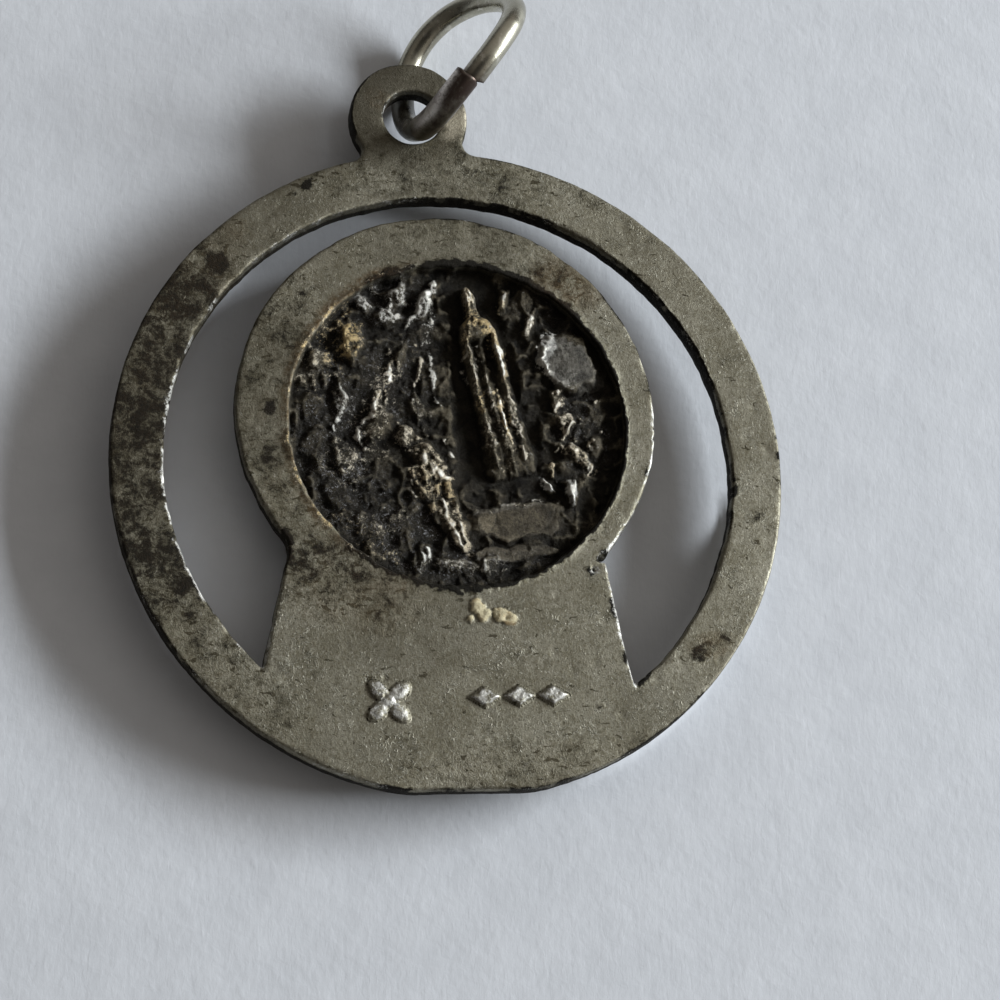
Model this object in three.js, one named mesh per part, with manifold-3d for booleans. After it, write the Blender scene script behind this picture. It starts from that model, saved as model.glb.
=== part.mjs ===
// Religious medal pendant: a round pierced medal lying on its face, its back up.
// The origin is on the surface it lies on, below the outer ring's centre. +Y runs to the lug, +Z is up.
// Lengths are in millimetres and angles in degrees.
import * as THREE from 'three';
import { mergeVertices } from 'three/addons/utils/BufferGeometryUtils.js';
import Module from 'manifold-3d';

const wasm = await Module();
wasm.setup();

// Plate and outer ring
const plateThickness = 0.9;
const ringRadius = 12.5;
const ringBand = 1.92;
const filedFlatDepth = 0.22;
const filedFlatTurn = -87;

// Medallion inside the ring, a narrow gap below the ring's top, and the recess in it
const topGap = 0.8;
const medallionX = -0.2;
const medallionY = 1.94;
const recessRim = 1.53;
const recessShiftX = 0.4;
const recessShiftY = -0.42;
const recessDepth = 0.62;
const reliefCell = 0.2;

// Panel that joins the medallion to the foot of the ring
const neckHalfWidth = 5.75;
const panelFlare = 0.99;

// Lug at the top of the ring
const lugRim = 1.14;
const lugReach = 1.53;
const lugLean = 7.2;
const lugNeckInset = 0.31;
const holeShift = 0.12;

// Jump ring: round wire, standing on its edge through the lug's hole
const wireDiameter = 0.9;
const holePlay = 0.67;
const passUnderGap = 0.25;
const jumpRingPlay = 0.79;
const jumpRingTurn = 67.5;
const jumpRingLean = 27.9;
const jumpRingBow = 0.138;
const jumpRingTwist = 0.278;
const splitAngle = -147;
const splitGap = 0.16;
const splitSidestep = 0.2;
const holeOffsetX = -0.03;
const holeOffsetY = -0.28;

// Plain raised disc on the hidden front, that the medal lies on
const frontDiscMargin = 1.64;
const frontDiscDraft = 0.5;

// Small raised ornaments on the panel
const ornamentRise = 0.16;
const floretX = -2.27;
const floretMargin = 3.3;
const petalCount = 4;
const petalLength = 1.0;
const petalWidth = 0.62;
const lozengeRowX = 2.42;
const lozengeRowMargin = 3.7;
const lozengeRowTurn = 4;
const lozengePitch = 1.25;
const lozengeLength = 0.95;
const lozengeWidth = 0.6;

const curveSides = 96;
const wireSides = 10;
const wireSteps = 48;

// What follows from the driving dimensions
const innerRadius = ringRadius - ringBand;
const medallionRadius = innerRadius - topGap - medallionY;
const recessRadius = medallionRadius - recessRim;
const frontDiscRadius = medallionRadius - frontDiscMargin;
const wireRadius = wireDiameter / 2;
const frontDiscHeight = wireDiameter + passUnderGap;
const plateBottom = frontDiscHeight;
const plateTop = plateBottom + plateThickness;
const recessX = medallionX + recessShiftX;
const recessY = medallionY + recessShiftY;
const lugDistance = ringRadius + lugReach;
const radians = THREE.MathUtils.degToRad;
const lugX = -lugDistance * Math.sin(radians(lugLean));
const lugY = lugDistance * Math.cos(radians(lugLean));
const holeRadius = wireRadius + holePlay;
const lugRadius = holeRadius + lugRim;
const jumpRingRadius = lugRadius + jumpRingPlay;
const holeX = lugX + holeShift;
const holeY = lugY;

function solid(geometry) {
  const bare = geometry.index ? geometry.clone() : geometry;
  bare.deleteAttribute('normal');
  bare.deleteAttribute('uv');
  const merged = mergeVertices(bare, 1e-4);
  const mesh = new wasm.Mesh({
    numProp: 3,
    vertProperties: new Float32Array(merged.attributes.position.array),
    triVerts: new Uint32Array(merged.index.array),
  });
  return new wasm.Manifold(mesh);
}

function geometryOf(manifold) {
  const mesh = manifold.getMesh();
  const geometry = new THREE.BufferGeometry();
  geometry.setAttribute('position', new THREE.BufferAttribute(new Float32Array(mesh.vertProperties), 3));
  geometry.setIndex(new THREE.BufferAttribute(new Uint32Array(mesh.triVerts), 1));
  geometry.computeVertexNormals();
  return geometry;
}

// Upright disc or cone frustum between two heights
function disc(x, y, low, high, radiusLow, radiusHigh = radiusLow, sides = curveSides) {
  const geometry = new THREE.CylinderGeometry(radiusHigh, radiusLow, high - low, sides);
  geometry.rotateX(Math.PI / 2);
  geometry.translate(x, y, (low + high) / 2);
  return solid(geometry);
}

function block(x, y, low, high, width, depth, turn = 0) {
  const geometry = new THREE.BoxGeometry(width, depth, high - low);
  geometry.rotateZ(radians(turn));
  geometry.translate(x, y, (low + high) / 2);
  return solid(geometry);
}

function prism(points, low, high) {
  const shape = new THREE.Shape(points.map(([x, y]) => new THREE.Vector2(x, y)));
  const geometry = new THREE.ExtrudeGeometry(shape, { depth: high - low, bevelEnabled: false });
  geometry.translate(0, 0, low);
  return solid(geometry);
}

// Relief. Places and lengths are shares of the recess's radius, from its centre.
// Rises are shares of the recess's depth, from its floor.
const smoothStep = THREE.MathUtils.smoothstep;

const rocks = [
  { x: -0.36, y: 0.77, long: 0.13, wide: 0.06, turn: 70, rise: 0.75 },
  { x: -0.2, y: 0.8, long: 0.14, wide: 0.06, turn: 62, rise: 0.8 },
  { x: -0.38, y: 0.68, long: 0.1, wide: 0.07, turn: 20, rise: 0.65 },
  { x: -0.64, y: 0.5, long: 0.2, wide: 0.13, turn: 75, rise: 0.8 },
  { x: -0.78, y: 0.28, long: 0.14, wide: 0.12, turn: 60, rise: 0.62 },
  { x: -0.72, y: 0.08, long: 0.18, wide: 0.1, turn: 80, rise: 0.6 },
  { x: -0.8, y: -0.16, long: 0.16, wide: 0.11, turn: 100, rise: 0.55 },
  { x: -0.64, y: -0.36, long: 0.18, wide: 0.12, turn: 120, rise: 0.6 },
  { x: -0.5, y: -0.6, long: 0.22, wide: 0.13, turn: 130, rise: 0.55 },
  { x: -0.5, y: -0.02, long: 0.15, wide: 0.1, turn: 50, rise: 0.7 },
  { x: -0.4, y: -0.42, long: 0.16, wide: 0.1, turn: 100, rise: 0.5 },
  { x: 0.42, y: 0.8, long: 0.13, wide: 0.06, turn: 100, rise: 0.7 },
  { x: 0.49, y: 0.66, long: 0.13, wide: 0.05, turn: 75, rise: 0.75 },
  { x: 0.3, y: 0.86, long: 0.1, wide: 0.05, turn: 110, rise: 0.6 },
  { x: 0.76, y: 0.46, long: 0.25, wide: 0.18, turn: 110, rise: 0.85 },
  { x: 0.6, y: 0.22, long: 0.08, wide: 0.07, turn: 0, rise: 0.7 },
  { x: 0.66, y: 0.08, long: 0.09, wide: 0.07, turn: 40, rise: 0.75 },
  { x: 0.74, y: -0.04, long: 0.1, wide: 0.07, turn: 130, rise: 0.8 },
  { x: 0.84, y: -0.1, long: 0.09, wide: 0.07, turn: 90, rise: 0.7 },
  { x: 0.83, y: 0.14, long: 0.12, wide: 0.08, turn: 80, rise: 0.55 },
  { x: 0.54, y: -0.35, long: 0.07, wide: 0.05, turn: 110, rise: 0.8 },
  { x: 0.69, y: -0.4, long: 0.1, wide: 0.04, turn: 100, rise: 0.85 },
  { x: 0.36, y: -0.62, long: 0.28, wide: 0.09, turn: 8, rise: 0.62 },
  { x: 0.3, y: -0.85, long: 0.3, wide: 0.07, turn: 12, rise: 0.6 },
  { x: -0.02, y: -0.86, long: 0.22, wide: 0.08, turn: -10, rise: 0.5 },
];

const ridges = [
  { x0: -0.42, y0: 0.43, x1: -0.41, y1: 0.29, half: 0.045, rise: 0.85 },
  { x0: -0.41, y0: 0.29, x1: -0.51, y1: 0.1, half: 0.055, rise: 0.85 },
  { x0: -0.51, y0: 0.1, x1: -0.59, y1: -0.07, half: 0.05, rise: 0.8 },
  { x0: -0.59, y0: -0.07, x1: -0.53, y1: -0.22, half: 0.045, rise: 0.75 },
  { x0: -0.21, y0: 0.49, x1: -0.23, y1: 0.32, half: 0.04, rise: 0.75 },
  { x0: -0.23, y0: 0.32, x1: -0.3, y1: 0.2, half: 0.04, rise: 0.75 },
  { x0: -0.3, y0: 0.2, x1: -0.16, y1: 0.02, half: 0.04, rise: 0.7 },
  { x0: -0.17, y0: 0.66, x1: -0.12, y1: 0.15, half: 0.035, rise: 0.72 },
  { x0: -0.12, y0: 0.15, x1: -0.01, y1: -0.16, half: 0.035, rise: 0.7 },
  { x0: 0.05, y0: -0.51, x1: 0.61, y1: -0.42, half: 0.04, rise: 0.72 },
  { x0: 0.0, y0: -0.74, x1: 0.6, y1: -0.72, half: 0.04, rise: 0.6 },
];

const ridgeFall = 0.6;

// Standing veiled figure. down and half are shares of its own height.
const standing = { topX: 0.03, topY: 0.885, footX: 0.32, footY: -0.31 };
const standingSections = [
  { down: 0.0, half: 0.035, rise: 0.6 },
  { down: 0.03, half: 0.058, rise: 0.95 },
  { down: 0.09, half: 0.066, rise: 1.0 },
  { down: 0.13, half: 0.058, rise: 0.7 },
  { down: 0.19, half: 0.1, rise: 0.95 },
  { down: 0.3, half: 0.118, rise: 0.98 },
  { down: 0.6, half: 0.12, rise: 0.92 },
  { down: 0.85, half: 0.135, rise: 0.88 },
  { down: 0.97, half: 0.15, rise: 0.82 },
  { down: 1.0, half: 0.14, rise: 0.5 },
];
// The robe shows below the arms, between the mantle's two falls, as one broad fold between two grooves
const robe = { top: 0.27, grooveShare: 0.5, grooveHalf: 0.2, grooveCut: 0.45, roundness: 0.75 };

// Kneeling veiled figure in profile, looking to the standing one
const kneelingMasses = [
  { x: -0.29, y: -0.1, long: 0.09, wide: 0.075, turn: 100, rise: 0.92 },
  { x: -0.2, y: -0.26, long: 0.17, wide: 0.11, turn: 115, rise: 0.8 },
  { x: -0.1, y: -0.48, long: 0.22, wide: 0.12, turn: 118, rise: 0.78 },
  { x: 0.0, y: -0.7, long: 0.18, wide: 0.09, turn: 125, rise: 0.72 },
];
const kneelingRidges = [
  { x0: -0.27, y0: -0.09, x1: -0.06, y1: -0.31, half: 0.04, rise: 0.95 },
  { x0: -0.22, y0: -0.22, x1: -0.22, y1: -0.37, half: 0.035, rise: 0.88 },
  { x0: -0.16, y0: -0.3, x1: -0.02, y1: -0.56, half: 0.04, rise: 0.88 },
  { x0: -0.02, y0: -0.56, x1: 0.05, y1: -0.75, half: 0.04, rise: 0.85 },
];

// Bare hollow behind the standing figure, narrow at the top, and how far it cuts the rocks down
const niche = { x: 0.12, topY: 0.92, footX: 0.27, footY: -0.3, halfTop: 0.16, halfFoot: 0.29, edge: 0.1 };
const nicheCut = 0.85;

function moundRise(mound, x, y) {
  const turn = radians(mound.turn);
  const along = ((x - mound.x) * Math.cos(turn) + (y - mound.y) * Math.sin(turn)) / mound.long;
  const across = ((y - mound.y) * Math.cos(turn) - (x - mound.x) * Math.sin(turn)) / mound.wide;
  return mound.rise * Math.sqrt(Math.max(0, 1 - along * along - across * across));
}

function ridgeRise(ridge, x, y) {
  const runX = ridge.x1 - ridge.x0;
  const runY = ridge.y1 - ridge.y0;
  const share = ((x - ridge.x0) * runX + (y - ridge.y0) * runY) / (runX * runX + runY * runY);
  const held = THREE.MathUtils.clamp(share, 0, 1);
  const away = Math.hypot(x - ridge.x0 - held * runX, y - ridge.y0 - held * runY) / ridge.half;
  return away < 1 ? ridge.rise * (1 - ridgeFall * away * away) : 0;
}

function sectionAt(sections, down) {
  const next = sections.findIndex((section) => section.down >= down);
  const b = sections[next];
  const a = sections[Math.max(0, next - 1)];
  const share = b.down > a.down ? (down - a.down) / (b.down - a.down) : 0;
  return { half: a.half + share * (b.half - a.half), rise: a.rise + share * (b.rise - a.rise) };
}

function standingRise(x, y) {
  const runX = standing.footX - standing.topX;
  const runY = standing.footY - standing.topY;
  const height = Math.hypot(runX, runY);
  const down = ((x - standing.topX) * runX + (y - standing.topY) * runY) / (height * height);
  const across = ((x - standing.topX) * runY - (y - standing.topY) * runX) / (height * height);
  if (down < 0 || down > 1) return 0;
  const { half, rise } = sectionAt(standingSections, down);
  const share = Math.abs(across) / half;
  if (share >= 1) return 0;
  const round = Math.sqrt(1 - robe.roundness * share * share);
  const groove = Math.max(0, 1 - Math.abs(share - robe.grooveShare) / robe.grooveHalf);
  return rise * round * (down > robe.top ? 1 - robe.grooveCut * groove : 1);
}

function nicheShare(x, y) {
  const share = THREE.MathUtils.clamp((niche.topY - y) / (niche.topY - niche.footY), 0, 1);
  const middle = niche.x + share * (niche.footX - niche.x);
  const half = niche.halfTop + share * (niche.halfFoot - niche.halfTop);
  const side = 1 - smoothStep(Math.abs(x - middle), half - niche.edge, half);
  return side * smoothStep(y, niche.footY - niche.edge, niche.footY);
}

// Rough ground between the named forms: two crossed waves of rock
function groundRise(x, y) {
  const broad = Math.sin(9 * x + 3 * y) * Math.sin(11 * y - 4 * x + 1);
  const fine = Math.sin(23 * x - 9 * y) * Math.sin(19 * y + 13 * x);
  return 0.26 + 0.1 * broad + 0.09 * fine;
}

function reliefShare(x, y) {
  const open = nicheShare(x, y);
  const rocky = Math.max(
    groundRise(x, y),
    ...rocks.map((rock) => moundRise(rock, x, y)),
    ...ridges.map((ridge) => ridgeRise(ridge, x, y)),
  );
  const figures = Math.max(
    standingRise(x, y),
    ...kneelingMasses.map((mass) => moundRise(mass, x, y)),
    ...kneelingRidges.map((ridge) => ridgeRise(ridge, x, y)),
  );
  return Math.max(rocky * (1 - nicheCut * open), figures);
}

// The empty space over the relief, up past the plate's top
function spaceOverRelief() {
  const side = 2 * (recessRadius + reliefCell);
  const cells = Math.round(side / reliefCell);
  const height = recessDepth * 2;
  const geometry = new THREE.BoxGeometry(side, side, height, cells, cells, 1);
  const position = geometry.attributes.position;
  const floor = plateTop - recessDepth;
  // The cells run along the standing figure, so that its folds stay clean
  const lean = Math.atan2(standing.footX - standing.topX, standing.topY - standing.footY);
  geometry.rotateZ(lean);
  for (let i = 0; i < position.count; i += 1) {
    const x = position.getX(i);
    const y = position.getY(i);
    const rise = recessDepth * reliefShare(x / recessRadius, y / recessRadius);
    const z = position.getZ(i) > 0 ? plateTop + recessDepth : floor + rise;
    position.setXYZ(i, x + recessX, y + recessY, z);
  }
  const round = disc(recessX, recessY, floor - recessDepth, plateTop + recessDepth * 2, recessRadius);
  return solid(geometry).intersect(round);
}

// Flared sides: through the necks on the medallion's edge and the notches on the ring's inner edge
function panel() {
  const neckY = medallionY - Math.sqrt(medallionRadius ** 2 - neckHalfWidth ** 2);
  const notchHalfWidth = neckHalfWidth + panelFlare;
  const notchY = -Math.sqrt(innerRadius ** 2 - notchHalfWidth ** 2);
  const flare = panelFlare / (neckY - notchY);
  const footHalf = notchHalfWidth + flare * (notchY + ringRadius);
  const headHalf = neckHalfWidth - flare * (medallionY - neckY);
  const points = [
    [medallionX - headHalf, medallionY],
    [-footHalf, -ringRadius],
    [footHalf, -ringRadius],
    [medallionX + headHalf, medallionY],
  ];
  const inRing = disc(0, 0, plateBottom, plateTop, ringRadius - ringBand / 2);
  return prism(points, plateBottom, plateTop).intersect(inRing);
}

function plate() {
  const past = plateThickness;
  const ring = disc(0, 0, plateBottom, plateTop, ringRadius).subtract(
    disc(0, 0, plateBottom - past, plateTop + past, innerRadius),
  );
  const medallion = disc(medallionX, medallionY, plateBottom, plateTop, medallionRadius);
  const lug = disc(lugX, lugY, plateBottom, plateTop, lugRadius, lugRadius, curveSides / 2);
  const neckLength = lugReach + ringBand / 2;
  const neckMiddle = lugDistance - neckLength / 2;
  const lean = radians(lugLean);
  const neck = block(
    -neckMiddle * Math.sin(lean),
    neckMiddle * Math.cos(lean),
    plateBottom,
    plateTop,
    2 * (lugRadius - lugNeckInset),
    neckLength,
    lugLean,
  );
  const holeSides = curveSides / 3;
  const hole = disc(holeX, holeY, plateBottom - past, plateTop + past, holeRadius, holeRadius, holeSides);
  const flatDistance = ringRadius - filedFlatDepth + ringBand / 2;
  const flatTurn = radians(filedFlatTurn);
  const filed = block(
    flatDistance * Math.cos(flatTurn),
    flatDistance * Math.sin(flatTurn),
    plateBottom - past,
    plateTop + past,
    ringBand,
    ringRadius,
    filedFlatTurn,
  );
  return ring.add(medallion).add(panel()).add(lug).add(neck).subtract(hole).subtract(filed);
}

// Low domes in a ring round a small raised heart
function floret() {
  const floretY = floretMargin - ringRadius;
  const petals = Array.from({ length: petalCount }, (_, place) => {
    const petal = new THREE.SphereGeometry(1, 12, 8);
    petal.scale(petalLength / 2, petalWidth / 2, ornamentRise);
    petal.translate(petalLength / 2, 0, plateTop);
    petal.rotateZ(((place + 0.5) * 2 * Math.PI) / petalCount);
    petal.translate(floretX, floretY, 0);
    return solid(petal);
  });
  const low = plateTop - ornamentRise;
  const heart = disc(floretX, floretY, low, plateTop + ornamentRise, petalWidth / 2, petalWidth / 4, 12);
  return petals.reduce((whole, petal) => whole.add(petal), heart);
}

// Row of low four-sided pyramids, each with a small flat top
function lozenges() {
  const lozengeRowY = lozengeRowMargin - ringRadius;
  return [-1, 0, 1].map((place) => {
    const lozenge = new THREE.CylinderGeometry(0.3, 0.7, 2 * ornamentRise, 4);
    lozenge.rotateX(Math.PI / 2);
    lozenge.scale(lozengeLength, lozengeWidth, 1);
    lozenge.translate(place * lozengePitch, 0, plateTop);
    lozenge.rotateZ(radians(lozengeRowTurn));
    lozenge.translate(lozengeRowX, lozengeRowY, 0);
    return solid(lozenge);
  });
}

function medalBody() {
  const sunk = plateThickness / 4;
  const frontDisc = disc(
    medallionX,
    medallionY,
    0,
    plateBottom + sunk,
    frontDiscRadius - frontDiscDraft,
    frontDiscRadius,
    curveSides / 2,
  );
  const bare = plate().add(frontDisc).subtract(spaceOverRelief());
  return [floret(), ...lozenges()].reduce((whole, ornament) => whole.add(ornament), bare);
}

// Centre line of the jump ring. Angle 0 is its lowest point, and the far side is at +90.
class JumpRingPath extends THREE.Curve {
  constructor() {
    super();
    const turn = radians(jumpRingTurn);
    const lean = radians(jumpRingLean);
    const side = new THREE.Vector3(Math.sin(turn), -Math.cos(turn), 0);
    this.along = new THREE.Vector3(Math.cos(turn), Math.sin(turn), 0);
    this.upward = new THREE.Vector3(0, 0, Math.cos(lean)).addScaledVector(side, Math.sin(lean));
    this.axis = new THREE.Vector3(0, 0, -Math.sin(lean)).addScaledVector(side, Math.cos(lean));
    this.centre = new THREE.Vector3();
    this.seat();
  }

  // Puts the wire's lowest point on the surface and its near side through the hole
  seat() {
    const angles = Array.from({ length: 361 }, (_, i) => radians(i - 180));
    const lowest = Math.min(...angles.map((angle) => this.at(angle).z));
    this.centre.z = wireRadius - lowest;
    const middle = (plateBottom + plateTop) / 2;
    const near = angles.filter((angle) => angle < 0 && angle > -Math.PI / 2);
    const fromMiddle = (angle) => Math.abs(this.at(angle).z - middle);
    const crossing = near.reduce((best, angle) => (fromMiddle(angle) < fromMiddle(best) ? angle : best));
    const point = this.at(crossing);
    this.centre.x += holeX + holeOffsetX - point.x;
    this.centre.y += holeY + holeOffsetY - point.y;
  }

  at(angle) {
    const split = radians(splitAngle);
    const round = THREE.MathUtils.euclideanModulo(angle - split, 2 * Math.PI) / (2 * Math.PI);
    const out = -jumpRingBow * Math.cos(2 * angle) - jumpRingTwist * Math.sin(2 * angle);
    return this.centre
      .clone()
      .addScaledVector(this.along, jumpRingRadius * Math.sin(angle))
      .addScaledVector(this.upward, -jumpRingRadius * Math.cos(angle))
      .addScaledVector(this.axis, out + splitSidestep * round * round);
  }

  getPoint(share) {
    const gap = splitGap / jumpRingRadius;
    return this.at(radians(splitAngle) + gap / 2 + share * (2 * Math.PI - gap));
  }
}

function jumpRing() {
  const section = new THREE.Shape();
  section.absarc(0, 0, wireRadius, 0, 2 * Math.PI);
  const options = { steps: wireSteps, curveSegments: wireSides / 2, extrudePath: new JumpRingPath() };
  return solid(new THREE.ExtrudeGeometry(section, options));
}

function mesh(name, manifold, color, roughness, metalness) {
  const material = new THREE.MeshStandardMaterial({ color, roughness, metalness });
  const part = new THREE.Mesh(geometryOf(manifold), material);
  part.name = name;
  return part;
}

const pendant = new THREE.Group();
pendant.add(mesh('medal_body', medalBody(), 0x6b675b, 0.45, 0.9));
pendant.add(mesh('jump_ring', jumpRing(), 0x8a8474, 0.3, 1.0));

export default pendant;
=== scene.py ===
"""Looks of a worn religious medal pendant, lying on its face on a pale surface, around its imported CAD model.

Lengths in this script are in millimetres, in the CAD model's frame, and MM turns them to metres. Angles and
turns are in degrees, except where math.radians makes them radians.
Places in the relief are shares of the recess's radius from its centre, and rises are shares of its depth.
"""

import math

import bpy
import numpy as np
from mathutils import Matrix, Vector
from mathutils.geometry import delaunay_2d_cdt


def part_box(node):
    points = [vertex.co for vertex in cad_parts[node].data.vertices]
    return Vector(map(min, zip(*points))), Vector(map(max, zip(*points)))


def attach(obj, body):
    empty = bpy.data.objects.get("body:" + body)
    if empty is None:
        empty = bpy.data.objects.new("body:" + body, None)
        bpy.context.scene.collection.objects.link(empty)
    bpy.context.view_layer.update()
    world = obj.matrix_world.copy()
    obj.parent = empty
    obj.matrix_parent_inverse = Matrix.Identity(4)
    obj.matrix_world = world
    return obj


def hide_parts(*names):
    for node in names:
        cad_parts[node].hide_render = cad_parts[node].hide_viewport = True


MM = 0.001

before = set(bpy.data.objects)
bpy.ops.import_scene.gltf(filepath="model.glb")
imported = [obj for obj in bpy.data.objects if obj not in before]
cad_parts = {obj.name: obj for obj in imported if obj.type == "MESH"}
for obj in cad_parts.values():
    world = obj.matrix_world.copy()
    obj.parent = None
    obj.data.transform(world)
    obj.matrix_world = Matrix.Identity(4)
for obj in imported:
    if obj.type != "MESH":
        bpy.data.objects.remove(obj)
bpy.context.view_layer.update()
body_low, body_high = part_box("medal_body")

# Plate and outer ring
ORNAMENT_RISE = 0.16
PLATE_THICKNESS = 0.9
PLATE_TOP = body_high.z / MM - ORNAMENT_RISE
PLATE_BOTTOM = PLATE_TOP - PLATE_THICKNESS
RING_RADIUS = (body_high.x - body_low.x) / 2 / MM
INNER_RADIUS = RING_RADIUS - 1.92
FILED_FLAT_DEPTH = 0.22
FILED_FLAT_TURN = -87

# Medallion and its recess
TOP_GAP = 0.8
MEDALLION_X = -0.2
MEDALLION_Y = 1.94
MEDALLION_RADIUS = INNER_RADIUS - TOP_GAP - MEDALLION_Y
RECESS_X = MEDALLION_X + 0.4
RECESS_Y = MEDALLION_Y - 0.42
RECESS_RADIUS = MEDALLION_RADIUS - 1.53
RECESS_DEPTH = 0.62

# Panel between the medallion and the ring's foot
NECK_HALF_WIDTH = 5.75
PANEL_FLARE = 0.99

# Lug and its hole
WIRE_RADIUS = 0.45
HOLE_RADIUS = WIRE_RADIUS + 0.67
LUG_RADIUS = HOLE_RADIUS + 1.14
LUG_DISTANCE = RING_RADIUS + 1.53
LUG_LEAN = 7.2
LUG_NECK_HALF = LUG_RADIUS - 0.31
LUG_X = -LUG_DISTANCE * math.sin(math.radians(LUG_LEAN))
LUG_Y = LUG_DISTANCE * math.cos(math.radians(LUG_LEAN))
HOLE_X = LUG_X + 0.12
HOLE_Y = LUG_Y

# Jump ring
JUMP_RING_RADIUS = LUG_RADIUS + 0.79
JUMP_RING_TURN = math.radians(67.5)
JUMP_RING_LEAN = math.radians(27.9)
JUMP_RING_BOW = 0.138
JUMP_RING_TWIST = 0.278
SPLIT_ANGLE = math.radians(-147)
SPLIT_GAP = 0.16
SPLIT_SIDESTEP = 0.2
HOLE_OFFSET_X = -0.03
HOLE_OFFSET_Y = -0.28

# The wire's two cut ends: which way round each slants, the upper end's and the lower end's, how far the slant
# moves the cut and how far it fades along the wire, and how much thicker the near piece is
SLANT_TURNS = (math.radians(40), math.radians(200))
SLANT_SHIFT = 0.16
SLANT_FADE = 0.7
NEAR_THICKENING = 0.11

# Plain disc on the hidden front
FRONT_DISC_RADIUS = MEDALLION_RADIUS - 1.64
FRONT_DISC_DRAFT = 0.5

# Ornaments on the panel
FLORET_X = -2.27
FLORET_Y = 3.3 - RING_RADIUS
PETAL_COUNT = 4
PETAL_LENGTH = 1.0
PETAL_WIDTH = 0.62
LOZENGE_ROW_X = 2.42
LOZENGE_ROW_Y = 3.7 - RING_RADIUS
LOZENGE_ROW_TURN = 4
LOZENGE_PITCH = 1.25
LOZENGE_LENGTH = 0.95
LOZENGE_WIDTH = 0.6

# How the casting's edges look: rounding, slow wander and fine roughness, fillets at the corners, and the
# walls' bulge and roughness
EDGE_ROUND = 0.12
EDGE_WANDER = 0.02
EDGE_ROUGH = 0.012
NECK_FILLET = 0.35
LUG_FILLET = 0.5
FLAT_FILLET = 0.1
WALL_BULGE = 0.02
WALL_ROUGH = 0.008

# Small forms on the upper surface: pits, the lip around the recess, and the crust's rise
PIT_COUNT = 420
PIT_RADIUS = 0.13
PIT_DEPTH = 0.035
LIP_RISE = 0.025
LIP_WIDTH = 0.09
CRUST_RISE = 0.12

# How far noise moves places in the relief, and how wide the means are that its heights are compared with
WARP = 0.022
NARROW_MEAN = 8
BROAD_MEAN = 22

# Mesh spacing: along the edge, rows inside the edge, rows down the wall, on the plate, in the recess and
# ornaments, on the hidden front, and along and across the recess's border; the grid that the edge is found on,
# how far the front's edge lies inside it, and the steps along the wire and around it
EDGE_STEP = 0.1
EDGE_ROWS = (0.018, 0.045, 0.08, 0.13)
WALL_ROWS = 5
PLATE_STEP = 0.145
FINE_STEP = 0.05
FRONT_STEP = 0.8
BORDER_STEP = 0.07
BORDER_ROWS = (-0.17, -0.09, -0.03, 0.02, 0.06, 0.1, 0.15)
LOOP_GRID_STEP = 0.12
FRONT_INSET = 0.05
WIRE_STEPS = 260
WIRE_SIDES = 28

# Camera: its place, the directions of the picture's right and up, its lens and its sensor
CAMERA_PLACE = (-14.044, -32.02, 91.03)
CAMERA_RIGHT = (0.984723, -0.001802, 0.174119)
CAMERA_UP = (-0.054166, 0.947166, 0.316138)
CAMERA_LENS = 93.6
SENSOR_WIDTH = 36

# Pale sheet: its lines' places beside a fine grid under the medal, and what it keeps below the plate where
# it swells
SHEET_FAR = (40, 200, 1500)
SHEET_NEAR = 13
SHEET_STEP = 0.2
SHEET_GAP = 0.02
SWELL_HALF_WIDTH = 0.9


def smooth_step(low, high, value):
    """0 where the value is low, 1 where it is high, and smooth between."""
    share = np.clip((value - low) / (high - low), 0, 1)
    return share * share * (3 - 2 * share)


def cell_noise(x, y, cell, seed):
    """Smooth random field from -1 to 1, with one random value at each corner of a square cell."""
    size = 256
    table = np.random.default_rng(seed).uniform(-1, 1, (size, size))
    u, v = x / cell, y / cell
    i, j = np.floor(u).astype(int), np.floor(v).astype(int)
    a, b = smooth_step(0, 1, u - i), smooth_step(0, 1, v - j)
    i, j, i1, j1 = i % size, j % size, (i + 1) % size, (j + 1) % size
    low = table[i, j] * (1 - a) + table[i1, j] * a
    high = table[i, j1] * (1 - a) + table[i1, j1] * a
    return low * (1 - b) + high * b


def rough_noise(x, y, cell, seed, octaves=4):
    """Fractal field from about -1 to 1, from the cell's size down."""
    total = sum(cell_noise(x, y, cell / 2**k, seed + k) / 2**k for k in range(octaves))
    return total / sum(0.5**k for k in range(octaves)) * 1.6


def ridged_noise(x, y, cell, seed, octaves=4):
    """Sharp-crested fractal field from 0 to 1."""
    total, weight = np.zeros_like(x), 1.0
    for k in range(octaves):
        crest = (1 - np.abs(cell_noise(x, y, cell / 2**k, seed + k))) ** 2
        total = total + crest * weight / 2**k
        weight = np.clip(crest * 1.7, 0.25, 1)
    return total / sum(0.5**k for k in range(octaves))


def smooth_union(a, b, fillet):
    """The smaller of two distances, with a fillet where the two shapes meet."""
    share = np.clip(0.5 + 0.5 * (b - a) / fillet, 0, 1)
    return b + (a - b) * share - fillet * share * (1 - share)


def turned(x, y, turn):
    """Places in axes turned by that many degrees: along the first and along the second."""
    cos, sin = math.cos(math.radians(turn)), math.sin(math.radians(turn))
    return x * cos + y * sin, y * cos - x * sin


def ellipse_share(x, y, centre_x, centre_y, long, wide, turn):
    """Squared distance from an ellipse's centre: 1 on its edge."""
    along, across = turned(x - centre_x, y - centre_y, turn)
    return (along / long) ** 2 + (across / wide) ** 2


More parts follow.
